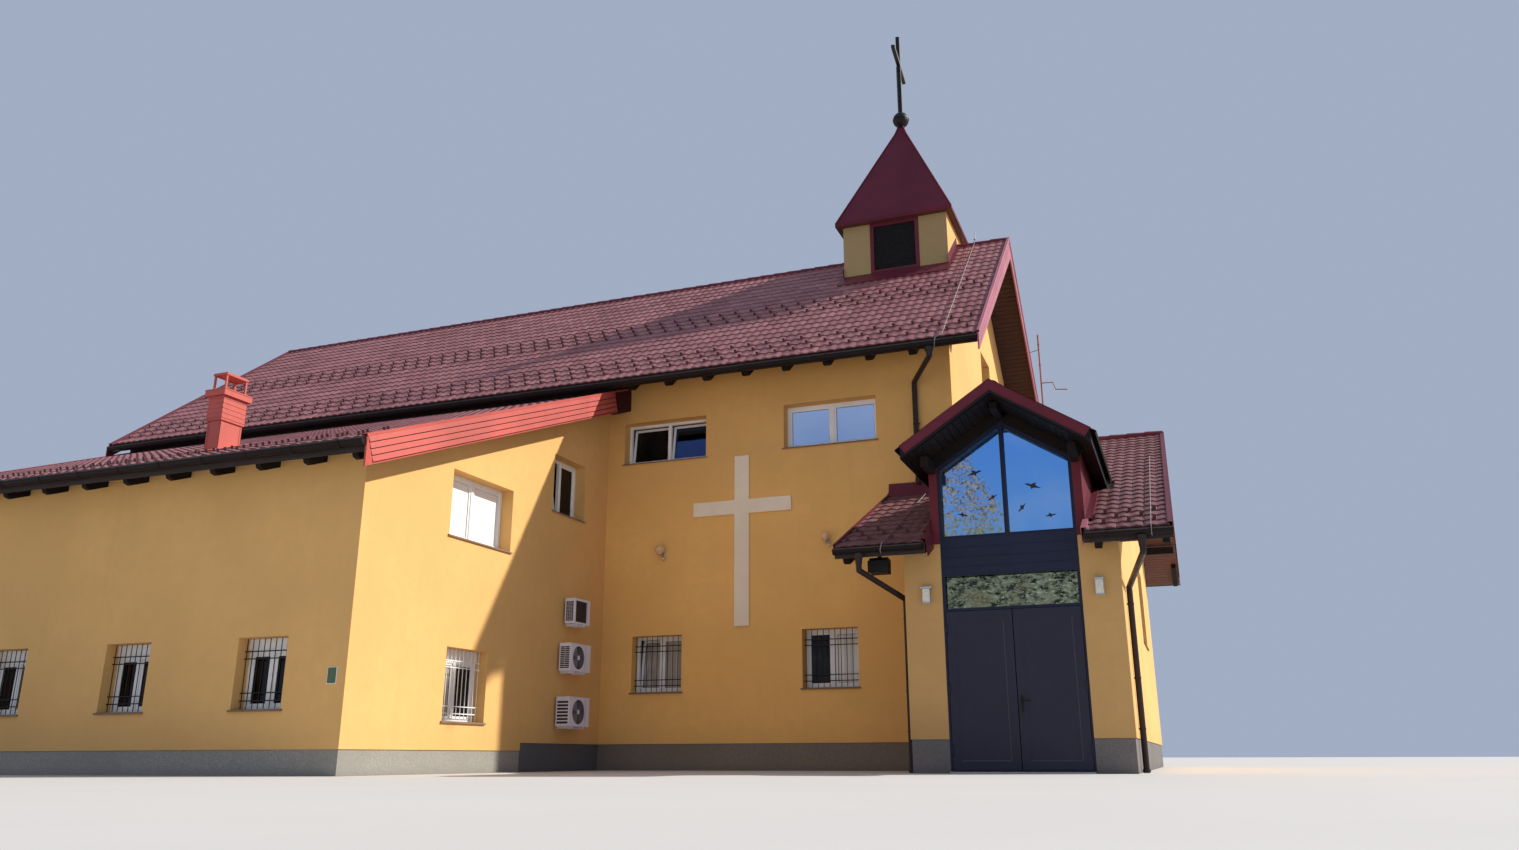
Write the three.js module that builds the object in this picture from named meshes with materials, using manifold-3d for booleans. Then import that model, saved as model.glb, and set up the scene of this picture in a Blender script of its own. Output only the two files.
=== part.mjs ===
// A small modern church: a tall gabled hall, a lean-to wing, a tiled entrance block with a glazed
// portal, and a square bell turret astride the ridge. Millimetres, +Z up.
// Working frame: X runs along the hall front, Y goes back from it, Z is height above the paving,
// and X 0, Y 0 is the inner corner where the wing meets the hall front.
import * as THREE from "three";
import { mergeVertices } from "three/addons/utils/BufferGeometryUtils.js";
import Module from "manifold-3d";

const wasm = await Module();
wasm.setup();

// Clearances: SEAM parts touching pieces, THROUGH carries a cutter past a wall, HIGH past any roof
const SEAM = 0.3;
const THROUGH = 20;
const OVERLAP = 1;
const HIGH = 20000;

// Hall
const HALL = { x0: -12500, x1: 7236, y0: 0, y1: 8740, wall: 380 };
const RIDGE_Y = 4370;
const HALL_ROOF = { ridgeZ: 11830, pitch: 0.7989, thick: 200, eaves: [-900, 9640], x: [-13200, 7945] };
const PLINTH_TOP = 480;
const PLINTH_INSET = 15;
const SLAB = 30;
const HALL_FLOOR_Z = [4700, 4950];

// Wing
const WING = { x0: -12500, x1: 0, y0: -7270, wall: 380 };
const WING_ROOF = { topZ: 7640, pitch: 0.395, thick: 190, eaveY: -7800, x: [-12970, 440] };
const LOW_PLINTH_TOP = 350;
const PLINTH_STEP_Y = -2770;
const WING_FLOOR_Z = [2700, 2900];

// Entrance block
const ENTRY = { x0: 6900, x1: 10110, y0: -3000, wall: 350 };
const ENTRY_ROOF = { eaveY: -3500, eaveZ: 3350, pitch: 0.435, thick: 180, x: [5930, 10880], backY: 9640 };
const BAY = { x0: 7480, x1: 9540, mid: 8510 };

// Portal hood and the notch that its side walls stand in
const HOOD = { half: 1403, y: [-3870, 1862], apexZ: 5678, pitch: 0.6472, thick: 200, cheek: 130 };
const NOTCH_BACK_Y = -500;

// Portal frame and doors
const FRAME_Y = [-2980, -2910];
const DOOR_X = [7510, 9510];
const DOOR_TOP = 2353;
const TRANSOM = { x: [7520, 9500], z: [2385, 2885] };
const PANE = { x: [7530, 9490], post: 60, sillZ: 3505, sideZ: 4555, apexZ: 5190 };
const PANE_THICK = 24;
const PANE_LAP = 20;
const LEAF = { z: [40, 2345], y: [-2980, -2920], sideGap: 8, meetingGap: 12, border: 130, recess: 8 };
const HINGE = { x: [7514, 9506], y: -2994, radius: 12, segment: 60, plate: 26, plateSet: 5 };
const HINGE_HEIGHTS = [320, 1200, 2080];
const HANDLE = { x: 8572, z: 1010, plateZ: [850, 1090], plateHalf: 18, rod: 10, reach: 55, lever: 120 };

// Turret
const TURRET = { mid: 5530, half: 1225, wall: 180, top: 12210, roomFloor: 10000 };
const SPIRE = { half: 1365, edge: 60, neckHalf: 130, neckZ: 15095, tipHalf: 45, tipZ: 15365 };
const SPIRE_HOLLOW_TOP = 14500;
const LOUVRE = { x: [4950, 6100], z: [10940, 12190], stile: 70, sill: 40, head: 80 };
const SLAT = { pitch: 125, rise: 75, first: 20, thick: 12, front: 25, back: 20 };
const FINIAL_BALL = { z: 15540, radius: 200 };
const ROOF_CROSS = { bar: 85, topZ: 17950, armZ: [17100, 17185], armHalf: 825, turn: 4 };

// Chimney on the wing roof
const CHIMNEY = { x: [-4150, -3870], y: [-6400, -5950], bandZ: 5680, bodyTopZ: 6110, plateZ: [6500, 6525] };
const CHIMNEY_BAND = 25;
const CHIMNEY_COLLAR = { out: 75, tall: 110 };
const CHIMNEY_LEG = 30;

// Edge boards, gutters and pipes
const VERGE = { thick: 30, above: 25, ridgeDepth: 475, footDepth: 280, past: 150 };
const WING_VERGE = { above: 20, depth: 410, past: 60 };
const GUTTER_SHEET = 6;
const GUTTER_DROP = 1.15;
const GUTTER_FACETS = 8;
const GUTTER_END_GAP = 30;
const HALL_GUTTER = { radius: 85, z: 7500 };
const WING_GUTTER = { radius: 75, z: 4520 };
const ENTRY_GUTTER = { radius: 65, z: 3300 };
const HALL_PIPE = { radius: 50, outletX: 7050, kneeZ: 7240, x: 6545, y: -65, wallZ: 7080, footZ: 5090 };
const LEFT_PIPE = { radius: 45, outletX: 6330, kneeZ: 2965, x: 6845, y: -2730, wallZ: 2600, footZ: 0 };
const RIGHT_PIPE = { radius: 45, outletX: 10460, kneeZ: 2980, x: 10165, y: -2080, wallZ: 2700, footZ: 0 };

// Window pieces
const REVEAL = 235;
const UNIT = { depth: 60, rim: 55, mullion: 70, paneFace: 20, paneBack: 40 };
const SHEET_THICK = 12;
const SHEET_LAP = 40;

const CLEAR_GLASS = { color: 0x9fb8cc, roughness: 0.05, transparent: true, opacity: 0.4 };
const materials = {
  render: new THREE.MeshStandardMaterial({ color: 0xdfa54e, roughness: 0.9 }),
  plinth: new THREE.MeshStandardMaterial({ color: 0x7d7a78, roughness: 0.9 }),
  concrete: new THREE.MeshStandardMaterial({ color: 0x9a9690, roughness: 0.9 }),
  tile: new THREE.MeshStandardMaterial({ color: 0x6a3534, roughness: 0.7 }),
  redSheet: new THREE.MeshStandardMaterial({ color: 0x7c2630, roughness: 0.5 }),
  darkSheet: new THREE.MeshStandardMaterial({ color: 0x1c1a1b, roughness: 0.5 }),
  anthracite: new THREE.MeshStandardMaterial({ color: 0x2b2d33, roughness: 0.5 }),
  glass: new THREE.MeshStandardMaterial(CLEAR_GLASS),
  whiteFrame: new THREE.MeshStandardMaterial({ color: 0xf2f0ea, roughness: 0.5 }),
  cream: new THREE.MeshStandardMaterial({ color: 0xf3e2b8, roughness: 0.8 }),
  coolerCase: new THREE.MeshStandardMaterial({ color: 0xe4e1d8, roughness: 0.5 }),
};

// Geometry helpers
function toSolid(geometry) {
  const plain = new THREE.BufferGeometry();
  plain.setAttribute("position", geometry.getAttribute("position").clone());
  if (geometry.index) plain.setIndex(geometry.index.clone());
  const merged = mergeVertices(plain, 1e-3);
  return new wasm.Manifold(new wasm.Mesh({
    numProp: 3,
    vertProperties: new Float32Array(merged.getAttribute("position").array),
    triVerts: new Uint32Array(merged.index.array),
  }));
}

function box(x, y, z) {
  const geometry = new THREE.BoxGeometry(x[1] - x[0], y[1] - y[0], z[1] - z[0]);
  geometry.translate((x[0] + x[1]) / 2, (y[0] + y[1]) / 2, (z[0] + z[1]) / 2);
  return toSolid(geometry);
}

// A prism of a flat outline: points are (y, z) along X, (x, z) along Y and (x, y) along Z.
function prism(axis, span, points) {
  const shape = new THREE.Shape(points.map(([u, v]) => new THREE.Vector2(u, v)));
  const depth = span[1] - span[0];
  const geometry = new THREE.ExtrudeGeometry(shape, { depth, bevelEnabled: false, steps: 1 });
  const matrix = new THREE.Matrix4();
  if (axis === "X") matrix.set(0, 0, 1, span[0], 1, 0, 0, 0, 0, 1, 0, 0, 0, 0, 0, 1);
  if (axis === "Y") matrix.set(1, 0, 0, 0, 0, 0, -1, span[1], 0, 1, 0, 0, 0, 0, 0, 1);
  if (axis === "Z") matrix.makeTranslation(0, 0, span[0]);
  geometry.applyMatrix4(matrix);
  return toSolid(geometry);
}

function cylinder(radius, from, to, sides = 20) {
  const start = new THREE.Vector3(...from);
  const end = new THREE.Vector3(...to);
  const along = end.clone().sub(start);
  const geometry = new THREE.CylinderGeometry(radius, radius, along.length(), sides);
  const upright = new THREE.Vector3(0, 1, 0);
  geometry.applyQuaternion(new THREE.Quaternion().setFromUnitVectors(upright, along.clone().normalize()));
  geometry.translate(...start.add(end).multiplyScalar(0.5).toArray());
  return toSolid(geometry);
}

function union(...solids) {
  return solids.reduce((whole, solid) => whole.add(solid));
}

function cut(solid, ...tools) {
  return tools.reduce((rest, tool) => rest.subtract(tool), solid);
}

const grow = (span, by) => [span[0] - by, span[1] + by];
const past = (span) => grow(span, THROUGH);
const centred = (middle, half) => [middle - half, middle + half];
const inside = (wall, thick) => [wall.x0 + thick, wall.x1 - thick];

const group = new THREE.Group();
group.name = "modern_church";

function part(name, solid, material) {
  const mesh = solid.getMesh();
  const geometry = new THREE.BufferGeometry();
  geometry.setAttribute("position", new THREE.BufferAttribute(new Float32Array(mesh.vertProperties), 3));
  geometry.setIndex(new THREE.BufferAttribute(new Uint32Array(mesh.triVerts), 1));
  geometry.computeVertexNormals();
  const node = new THREE.Mesh(geometry, materials[material]);
  node.name = name;
  group.add(node);
}

// Roof surfaces: height of the top face at a place, and of the underside below it
const hallTop = (y) => HALL_ROOF.ridgeZ - Math.abs(y - RIDGE_Y) * HALL_ROOF.pitch;
const hallUnder = (y) => hallTop(y) - HALL_ROOF.thick;
const wingTop = (y) => WING_ROOF.topZ + y * WING_ROOF.pitch;
const wingUnder = (y) => wingTop(y) - WING_ROOF.thick;
const ENTRY_RIDGE_Z = ENTRY_ROOF.eaveZ + (RIDGE_Y - ENTRY_ROOF.eaveY) * ENTRY_ROOF.pitch;
const entryTop = (y) => ENTRY_RIDGE_Z - Math.abs(y - RIDGE_Y) * ENTRY_ROOF.pitch;
const entryUnder = (y) => entryTop(y) - ENTRY_ROOF.thick;
const hoodTop = (x) => HOOD.apexZ - Math.abs(x - BAY.mid) * HOOD.pitch;
const hoodUnder = (x) => hoodTop(x) - HOOD.thick;

// Everything below a sloping line, as a cutter that runs the whole length of the building
function belowLine(height, y) {
  return prism("X", [-HIGH, HIGH], [
    [y[0], -HIGH], [y[1], -HIGH], [y[1], height(y[1])], [y[0], height(y[0])],
  ]);
}

// Window openings: span along the wall, then sill and head
const UPPER_HALL_WINDOWS = [
  { name: "window_hall_upper_left", along: [369, 2211], z: [6050, 6920], panes: 2 },
  { name: "window_hall_upper_right", along: [3880, 5758], z: [6060, 6945], panes: 2 },
];
const LOWER_HALL_WINDOWS = [
  { name: "window_hall_lower_left", along: [678, 1747], z: [1440, 2520], panes: 2 },
  { name: "window_hall_lower_right", along: [4204, 5280], z: [1450, 2525], panes: 2 },
];
const WING_EAST_WINDOWS = [
  { name: "window_wing_upper_wide", along: [-5196, -3435], z: [3680, 4770], panes: 2 },
  { name: "window_wing_upper_small", along: [-2103, -918], z: [4700, 5800], panes: 2 },
  { name: "window_wing_lower", along: [-5031, -3903], z: [780, 1920], panes: 2 },
];
const WING_FRONT = { lefts: [-1985, -4585, -7185, -9785], width: 905, z: [895, 1915] };
const WING_FRONT_WINDOWS = WING_FRONT.lefts.map((left) => (
  { along: [left, left + WING_FRONT.width], z: WING_FRONT.z }
));
const BACK_BAYS = [5000, 1400, -2200, -5800, -9400];
const BACK_WINDOWS = {
  upper: BACK_BAYS.map((x) => ({ along: centred(x, 920), z: [6050, 6920] })),
  lower: BACK_BAYS.map((x) => ({ along: centred(x, 535), z: [1440, 2520] })),
};
const GABLE_WINDOW = { along: [3787, 4947], z: [8000, 8950] };
const ENTRY_SIDE_WINDOW = { along: [3400, 5400], z: [2400, 3950] };
const PASSAGE = { along: [3370, 5370], z: [0, 2350] };

function holesAcrossY(windows, y) {
  return windows.map((w) => box(w.along, past(y), w.z));
}

function holesAcrossX(windows, x) {
  return windows.map((w) => box(past(x), w.along, w.z));
}

// Bases: each is a ground slab with the plinth standing on its edge
const aboveSlab = [SLAB, HIGH];
const plinthZ = [0, PLINTH_TOP];
const hallDepth = [HALL.y0, HALL.y1];
part("hall_base", cut(
  box(inside(HALL, PLINTH_INSET), grow(hallDepth, -PLINTH_INSET), plinthZ),
  box(inside(HALL, HALL.wall), grow(hallDepth, -HALL.wall), aboveSlab),
  box([HALL.x1 - HALL.wall - THROUGH, HALL.x1], PASSAGE.along, aboveSlab),
), "plinth");
part("wing_base", cut(
  box(inside(WING, PLINTH_INSET), [WING.y0 + PLINTH_INSET, -SEAM], plinthZ),
  box(inside(WING, WING.wall), [WING.y0 + WING.wall, THROUGH], aboveSlab),
  box(past([WING.x0, WING.x1]), [WING.y0 - THROUGH, PLINTH_STEP_Y], [LOW_PLINTH_TOP, HIGH]),
), "plinth");
part("entrance_base", cut(
  union(
    box(inside(ENTRY, PLINTH_INSET), [ENTRY.y0 + PLINTH_INSET, -SEAM], plinthZ),
    box([HALL.x1 + SEAM, ENTRY.x1 - PLINTH_INSET], [-OVERLAP, HALL.y1 - PLINTH_INSET], plinthZ),
  ),
  box(inside(ENTRY, ENTRY.wall), [ENTRY.y0 + ENTRY.wall, -OVERLAP], aboveSlab),
  box([HALL.x1 - OVERLAP, ENTRY.x1 - ENTRY.wall], [-2 * OVERLAP, HALL.y1 - HALL.wall], aboveSlab),
  box([BAY.x0, BAY.x1], past([ENTRY.y0, ENTRY.y0 + ENTRY.wall]), aboveSlab),
), "plinth");

// Walls: cross-sections in Y and Z, cut to the underside of the roof above
function wallAlongX(x, y, bottom, under) {
  return prism("X", x, [
    [y[0], bottom + SEAM], [y[1], bottom + SEAM], [y[1], under(y[1]) - SEAM], [y[0], under(y[0]) - SEAM],
  ]);
}

function gableWall(x, y, bottom, under) {
  return prism("X", x, [
    [y[0], bottom + SEAM], [y[1], bottom + SEAM], [y[1], under(y[1]) - SEAM],
    [RIDGE_Y, under(RIDGE_Y) - SEAM], [y[0], under(y[0]) - SEAM],
  ]);
}

const hallFrontY = [HALL.y0, HALL.y0 + HALL.wall];
const hallBackY = [HALL.y1 - HALL.wall, HALL.y1];
const hallSideY = [hallFrontY[1] + SEAM, hallBackY[0] - SEAM];
const hallEastX = [HALL.x1 - HALL.wall, HALL.x1];
const hallWestX = [HALL.x0, HALL.x0 + HALL.wall];
part("hall_front_wall", cut(
  wallAlongX([HALL.x0, HALL.x1], hallFrontY, PLINTH_TOP, hallUnder),
  ...holesAcrossY([...UPPER_HALL_WINDOWS, ...LOWER_HALL_WINDOWS], hallFrontY),
), "render");
part("back_wall", cut(
  union(
    wallAlongX([HALL.x0, HALL.x1], hallBackY, PLINTH_TOP, hallUnder),
    wallAlongX([HALL.x1 - OVERLAP, ENTRY.x1], hallBackY, PLINTH_TOP, entryUnder),
  ),
  ...holesAcrossY([...BACK_WINDOWS.upper, ...BACK_WINDOWS.lower], hallBackY),
), "render");
part("hall_east_wall", cut(
  gableWall(hallEastX, hallSideY, PLINTH_TOP, hallUnder),
  ...holesAcrossX([GABLE_WINDOW, PASSAGE], hallEastX),
), "render");
part("hall_west_wall", gableWall(hallWestX, hallSideY, PLINTH_TOP, hallUnder), "render");

// The wing's side walls stand on a plinth that steps up towards the hall
function steppedWingWall(x, y) {
  return prism("X", x, [
    [y[0], LOW_PLINTH_TOP + SEAM], [PLINTH_STEP_Y - SEAM, LOW_PLINTH_TOP + SEAM],
    [PLINTH_STEP_Y - SEAM, PLINTH_TOP + SEAM], [y[1], PLINTH_TOP + SEAM],
    [y[1], wingUnder(y[1]) - SEAM], [y[0], wingUnder(y[0]) - SEAM],
  ]);
}

const wingEastX = [WING.x1 - WING.wall, WING.x1];
const wingWestX = [WING.x0, WING.x0 + WING.wall];
const wingFrontY = [WING.y0, WING.y0 + WING.wall];
part("wing_east_wall", cut(
  steppedWingWall(wingEastX, [WING.y0, -SEAM]),
  ...holesAcrossX(WING_EAST_WINDOWS, wingEastX),
), "render");
part("wing_front_wall", cut(
  wallAlongX([WING.x0, wingEastX[0] - SEAM], wingFrontY, LOW_PLINTH_TOP, wingUnder),
  ...holesAcrossY(WING_FRONT_WINDOWS, wingFrontY),
), "render");
part("wing_west_wall", cut(
  steppedWingWall(wingWestX, [wingFrontY[1] + SEAM, -SEAM]),
  ...holesAcrossX(WING_EAST_WINDOWS, wingWestX),
), "render");

const entryFrontY = [ENTRY.y0, ENTRY.y0 + ENTRY.wall];
const entryEastX = [ENTRY.x1 - ENTRY.wall, ENTRY.x1];
const frontOfHall = past([ENTRY.y0, -SEAM]);
part("entrance_left_wall", prism("Z", [PLINTH_TOP + SEAM, HIGH], [
  [ENTRY.x0, ENTRY.y0], [BAY.x0, ENTRY.y0], [BAY.x0, entryFrontY[1]],
  [ENTRY.x0 + ENTRY.wall, entryFrontY[1]], [ENTRY.x0 + ENTRY.wall, -SEAM], [ENTRY.x0, -SEAM],
]).intersect(belowLine((y) => entryUnder(y) - SEAM, frontOfHall)), "render");
part("entrance_right_wall", wallAlongX([BAY.x1, ENTRY.x1], entryFrontY, PLINTH_TOP, entryUnder), "render");
part("entrance_east_wall", cut(
  gableWall(entryEastX, [entryFrontY[1] + SEAM, hallBackY[0] - SEAM], PLINTH_TOP, entryUnder),
  ...holesAcrossX([ENTRY_SIDE_WINDOW], entryEastX),
), "render");

// Upper floors
part("hall_upper_floor", box(grow(inside(HALL, HALL.wall), -SEAM), hallSideY, HALL_FLOOR_Z), "concrete");
part("wing_upper_floor", box(
  grow(inside(WING, WING.wall), -SEAM), [wingFrontY[1] + SEAM, -SEAM], WING_FLOOR_Z,
), "concrete");

// Roofs: one slab for each slope
function roofSlope(x, y, top, thick) {
  return prism("X", x, [
    [y[0], top(y[0]) - thick], [y[1], top(y[1]) - thick], [y[1], top(y[1])], [y[0], top(y[0])],
  ]);
}

const frontOfRidge = RIDGE_Y - SEAM / 2;
const behindRidge = RIDGE_Y + SEAM / 2;
const notchX = grow([BAY.x0, BAY.x1], HOOD.cheek + SEAM);
const frontSlopeY = [HALL_ROOF.eaves[0], frontOfRidge];
const backSlopeY = [behindRidge, HALL_ROOF.eaves[1]];
part("hall_roof_front", roofSlope(HALL_ROOF.x, frontSlopeY, hallTop, HALL_ROOF.thick), "tile");
part("hall_roof_back", roofSlope(HALL_ROOF.x, backSlopeY, hallTop, HALL_ROOF.thick), "tile");
part("wing_roof", roofSlope(WING_ROOF.x, [WING_ROOF.eaveY, -SEAM], wingTop, WING_ROOF.thick), "tile");
part("entrance_roof_front", cut(
  roofSlope(ENTRY_ROOF.x, [ENTRY_ROOF.eaveY, frontOfRidge], entryTop, ENTRY_ROOF.thick),
  box([0, HALL.x1 + SEAM], [-SEAM, HIGH], [0, HIGH]),
  box(notchX, [-HIGH, NOTCH_BACK_Y], [0, HIGH]),
), "tile");
part("entrance_roof_back", roofSlope(
  [HALL.x1 + SEAM, ENTRY_ROOF.x[1]], [behindRidge, ENTRY_ROOF.backY], entryTop, ENTRY_ROOF.thick,
), "tile");

// Portal hood: a small gable roof that lies on the tiled slope, and on two side walls in its notch
const hoodX = centred(BAY.mid, HOOD.half);
const hoodSlab = prism("Y", HOOD.y, [
  [hoodX[0], hoodTop(hoodX[0])], [hoodX[0], hoodUnder(hoodX[0])], [BAY.mid, hoodUnder(BAY.mid)],
  [hoodX[1], hoodUnder(hoodX[1])], [hoodX[1], hoodTop(hoodX[1])], [BAY.mid, hoodTop(BAY.mid)],
]);
const hoodReach = past(HOOD.y);

function cheekWall(x) {
  const footZ = entryUnder(ENTRY_ROOF.eaveY);
  const solid = prism("Y", [ENTRY.y0, NOTCH_BACK_Y - SEAM], [
    [x[0], footZ], [x[1], footZ], [x[1], hoodUnder(x[1]) + OVERLAP], [x[0], hoodUnder(x[0]) + OVERLAP],
  ]);
  return cut(solid, belowLine(entryUnder, hoodReach));
}

part("portal_hood", union(
  cut(hoodSlab, belowLine((y) => entryTop(y) + SEAM, hoodReach)),
  cheekWall([BAY.x0 - HOOD.cheek, BAY.x0]),
  cheekWall([BAY.x1, BAY.x1 + HOOD.cheek]),
), "redSheet");

// Door hinges: a barrel of three segments on each pin line, the middle one on the leaf
function barrel(pinX, side, from, to) {
  const plateEnd = pinX + side * HINGE.plate;
  const plateY = [HINGE.y + HINGE.plateSet, FRAME_Y[0] + OVERLAP];
  return union(
    cylinder(HINGE.radius, [pinX, HINGE.y, from], [pinX, HINGE.y, to]),
    box([Math.min(pinX, plateEnd), Math.max(pinX, plateEnd)], plateY, [from, to]),
  );
}

const halfSegment = HINGE.segment / 2;
const leafBarrels = (pinX, side) => HINGE_HEIGHTS.map(
  (z) => barrel(pinX, side, z - halfSegment, z + halfSegment),
);
const frameBarrels = (pinX, side) => HINGE_HEIGHTS.flatMap((z) => [
  barrel(pinX, side, z - halfSegment - SEAM - HINGE.segment, z - halfSegment - SEAM),
  barrel(pinX, side, z + halfSegment + SEAM, z + halfSegment + SEAM + HINGE.segment),
]);

// Portal frame with its transom light and two gable panes
const frameX = [BAY.x0 + SEAM, BAY.x1 - SEAM];
const frameTop = (x) => hoodUnder(x) - SEAM;
const paneSlope = (PANE.apexZ - PANE.sideZ) / (BAY.mid - PANE.x[0]);
const paneTop = (x) => PANE.apexZ - Math.abs(x - BAY.mid) * paneSlope;
const paneHole = (x) => prism("Y", past(FRAME_Y), [
  [x[0], PANE.sillZ], [x[1], PANE.sillZ], [x[1], paneTop(x[1])], [x[0], paneTop(x[0])],
]);
part("portal_frame", union(
  cut(
    prism("Y", FRAME_Y, [
      [frameX[0], SLAB + SEAM], [frameX[1], SLAB + SEAM], [frameX[1], frameTop(frameX[1])],
      [BAY.mid, frameTop(BAY.mid)], [frameX[0], frameTop(frameX[0])],
    ]),
    box(DOOR_X, past(FRAME_Y), [0, DOOR_TOP]),
    box(TRANSOM.x, past(FRAME_Y), TRANSOM.z),
    paneHole([PANE.x[0], BAY.mid - PANE.post / 2]),
    paneHole([BAY.mid + PANE.post / 2, PANE.x[1]]),
  ),
  ...frameBarrels(HINGE.x[0], -1),
  ...frameBarrels(HINGE.x[1], 1),
), "anthracite");
const paneY = [FRAME_Y[1] + SEAM, FRAME_Y[1] + PANE_THICK];
const gablePaneX = grow(PANE.x, PANE_LAP);
part("transom_glass", box(grow(TRANSOM.x, PANE_LAP), paneY, grow(TRANSOM.z, PANE_LAP)), "glass");
part("gable_glass", prism("Y", paneY, [
  [gablePaneX[0], PANE.sillZ - PANE_LAP], [gablePaneX[1], PANE.sillZ - PANE_LAP],
  [gablePaneX[1], paneTop(gablePaneX[1]) + PANE_LAP], [BAY.mid, PANE.apexZ + PANE_LAP],
  [gablePaneX[0], paneTop(gablePaneX[0]) + PANE_LAP],
]), "glass");

// Door leaves with a recessed field, and the lever handle on the right one
function doorLeaf(name, x, pinX, side) {
  const field = box(
    grow(x, -LEAF.border), [LEAF.y[0] - THROUGH, LEAF.y[0] + LEAF.recess], grow(LEAF.z, -LEAF.border),
  );
  part(name, union(cut(box(x, LEAF.y, LEAF.z), field), ...leafBarrels(pinX, side)), "anthracite");
}

const meetingHalf = LEAF.meetingGap / 2;
doorLeaf("door_leaf_left", [DOOR_X[0] + LEAF.sideGap, BAY.mid - meetingHalf], HINGE.x[0], 1);
doorLeaf("door_leaf_right", [BAY.mid + meetingHalf, DOOR_X[1] - LEAF.sideGap], HINGE.x[1], -1);
const leverY = LEAF.y[0] - HANDLE.reach;
const plateFace = LEAF.y[0] - HANDLE.rod;
const leverX = [HANDLE.x - HANDLE.rod, HANDLE.x + HANDLE.lever];
part("door_handle", union(
  box(centred(HANDLE.x, HANDLE.plateHalf), [plateFace, LEAF.y[0] - SEAM], HANDLE.plateZ),
  cylinder(HANDLE.rod, [HANDLE.x, plateFace + OVERLAP, HANDLE.z], [HANDLE.x, leverY, HANDLE.z]),
  cylinder(HANDLE.rod, [leverX[0], leverY, HANDLE.z], [leverX[1], leverY, HANDLE.z]),
), "darkSheet");

// Turret: a square chamber astride the ridge, open below over the roof
const turretX = centred(TURRET.mid, TURRET.half);
const turretY = centred(RIDGE_Y, TURRET.half);
const chamberX = grow(turretX, -TURRET.wall);
const chamberY = grow(turretY, -TURRET.wall);
const onHallRoof = (y) => hallTop(y) + SEAM;
part("turret_walls", cut(
  box(turretX, turretY, [TURRET.roomFloor, TURRET.top]),
  box(chamberX, chamberY, [0, HIGH]),
  belowLine(onHallRoof, [turretY[0] - THROUGH, RIDGE_Y]),
  belowLine(onHallRoof, [RIDGE_Y, turretY[1] + THROUGH]),
  box(LOUVRE.x, past([turretY[0], chamberY[0]]), [LOUVRE.z[0], HIGH]),
), "render");

// The louvre: a frame with sloping slats, its lower edges outside
const louvreY = [turretY[0] - 15, turretY[0] + 110];
const slatX = grow(grow(LOUVRE.x, -LOUVRE.stile), OVERLAP);
const slatZ = [LOUVRE.z[0] + LOUVRE.sill, LOUVRE.z[1] - LOUVRE.head];

function slat(z) {
  const front = louvreY[0] + SLAT.front;
  const back = louvreY[1] - SLAT.back;
  const rise = z + SLAT.rise;
  return prism("X", slatX, [[front, z], [front + SLAT.thick, z], [back, rise], [back - SLAT.thick, rise]]);
}

const slatCount = Math.ceil((slatZ[1] - slatZ[0] - SLAT.first) / SLAT.pitch);
const slats = Array.from({ length: slatCount }, (_, i) => slat(slatZ[0] + SLAT.first + i * SLAT.pitch));
part("turret_louvre", union(
  cut(
    box(grow(LOUVRE.x, -SEAM), louvreY, [LOUVRE.z[0] + SEAM, TURRET.top]),
    box(grow(LOUVRE.x, -LOUVRE.stile), past(louvreY), slatZ),
  ),
  ...slats,
), "redSheet");

// A square pyramid, cut off at the top, centred on the turret
function frustum(halfLow, zLow, halfHigh, zHigh) {
  const geometry = new THREE.CylinderGeometry(halfHigh * Math.SQRT2, halfLow * Math.SQRT2, zHigh - zLow, 4);
  geometry.rotateY(Math.PI / 4);
  geometry.rotateX(Math.PI / 2);
  geometry.translate(TURRET.mid, RIDGE_Y, (zLow + zHigh) / 2);
  return toSolid(geometry);
}

const spireFootZ = TURRET.top + SEAM;
const spireEdgeZ = spireFootZ + SPIRE.edge;
part("turret_roof", cut(
  union(
    frustum(SPIRE.half, spireFootZ, SPIRE.half, spireEdgeZ),
    frustum(SPIRE.half, spireEdgeZ - OVERLAP, SPIRE.neckHalf, SPIRE.neckZ),
    frustum(SPIRE.neckHalf, SPIRE.neckZ - OVERLAP, SPIRE.tipHalf, SPIRE.tipZ),
  ),
  frustum(TURRET.half - TURRET.wall, spireFootZ - THROUGH, THROUGH, SPIRE_HOLLOW_TOP),
), "redSheet");

// Ball and cross on the tip; the cross faces along the ridge, turned a few degrees about its foot
const ballGeometry = new THREE.SphereGeometry(FINIAL_BALL.radius, 24, 14);
ballGeometry.rotateX(Math.PI / 2);
ballGeometry.translate(TURRET.mid, RIDGE_Y, FINIAL_BALL.z);
const barHalf = ROOF_CROSS.bar / 2;
const roofCross = union(
  box([-barHalf, barHalf], [-barHalf, barHalf], [FINIAL_BALL.z, ROOF_CROSS.topZ]),
  box([OVERLAP - barHalf, barHalf - OVERLAP], [-ROOF_CROSS.armHalf, ROOF_CROSS.armHalf], ROOF_CROSS.armZ),
);
part("turret_cross", cut(
  union(
    toSolid(ballGeometry),
    roofCross.rotate([0, 0, ROOF_CROSS.turn]).translate([TURRET.mid, RIDGE_Y, 0]),
  ),
  box(turretX, turretY, [0, SPIRE.tipZ + SEAM]),
), "darkSheet");

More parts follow.
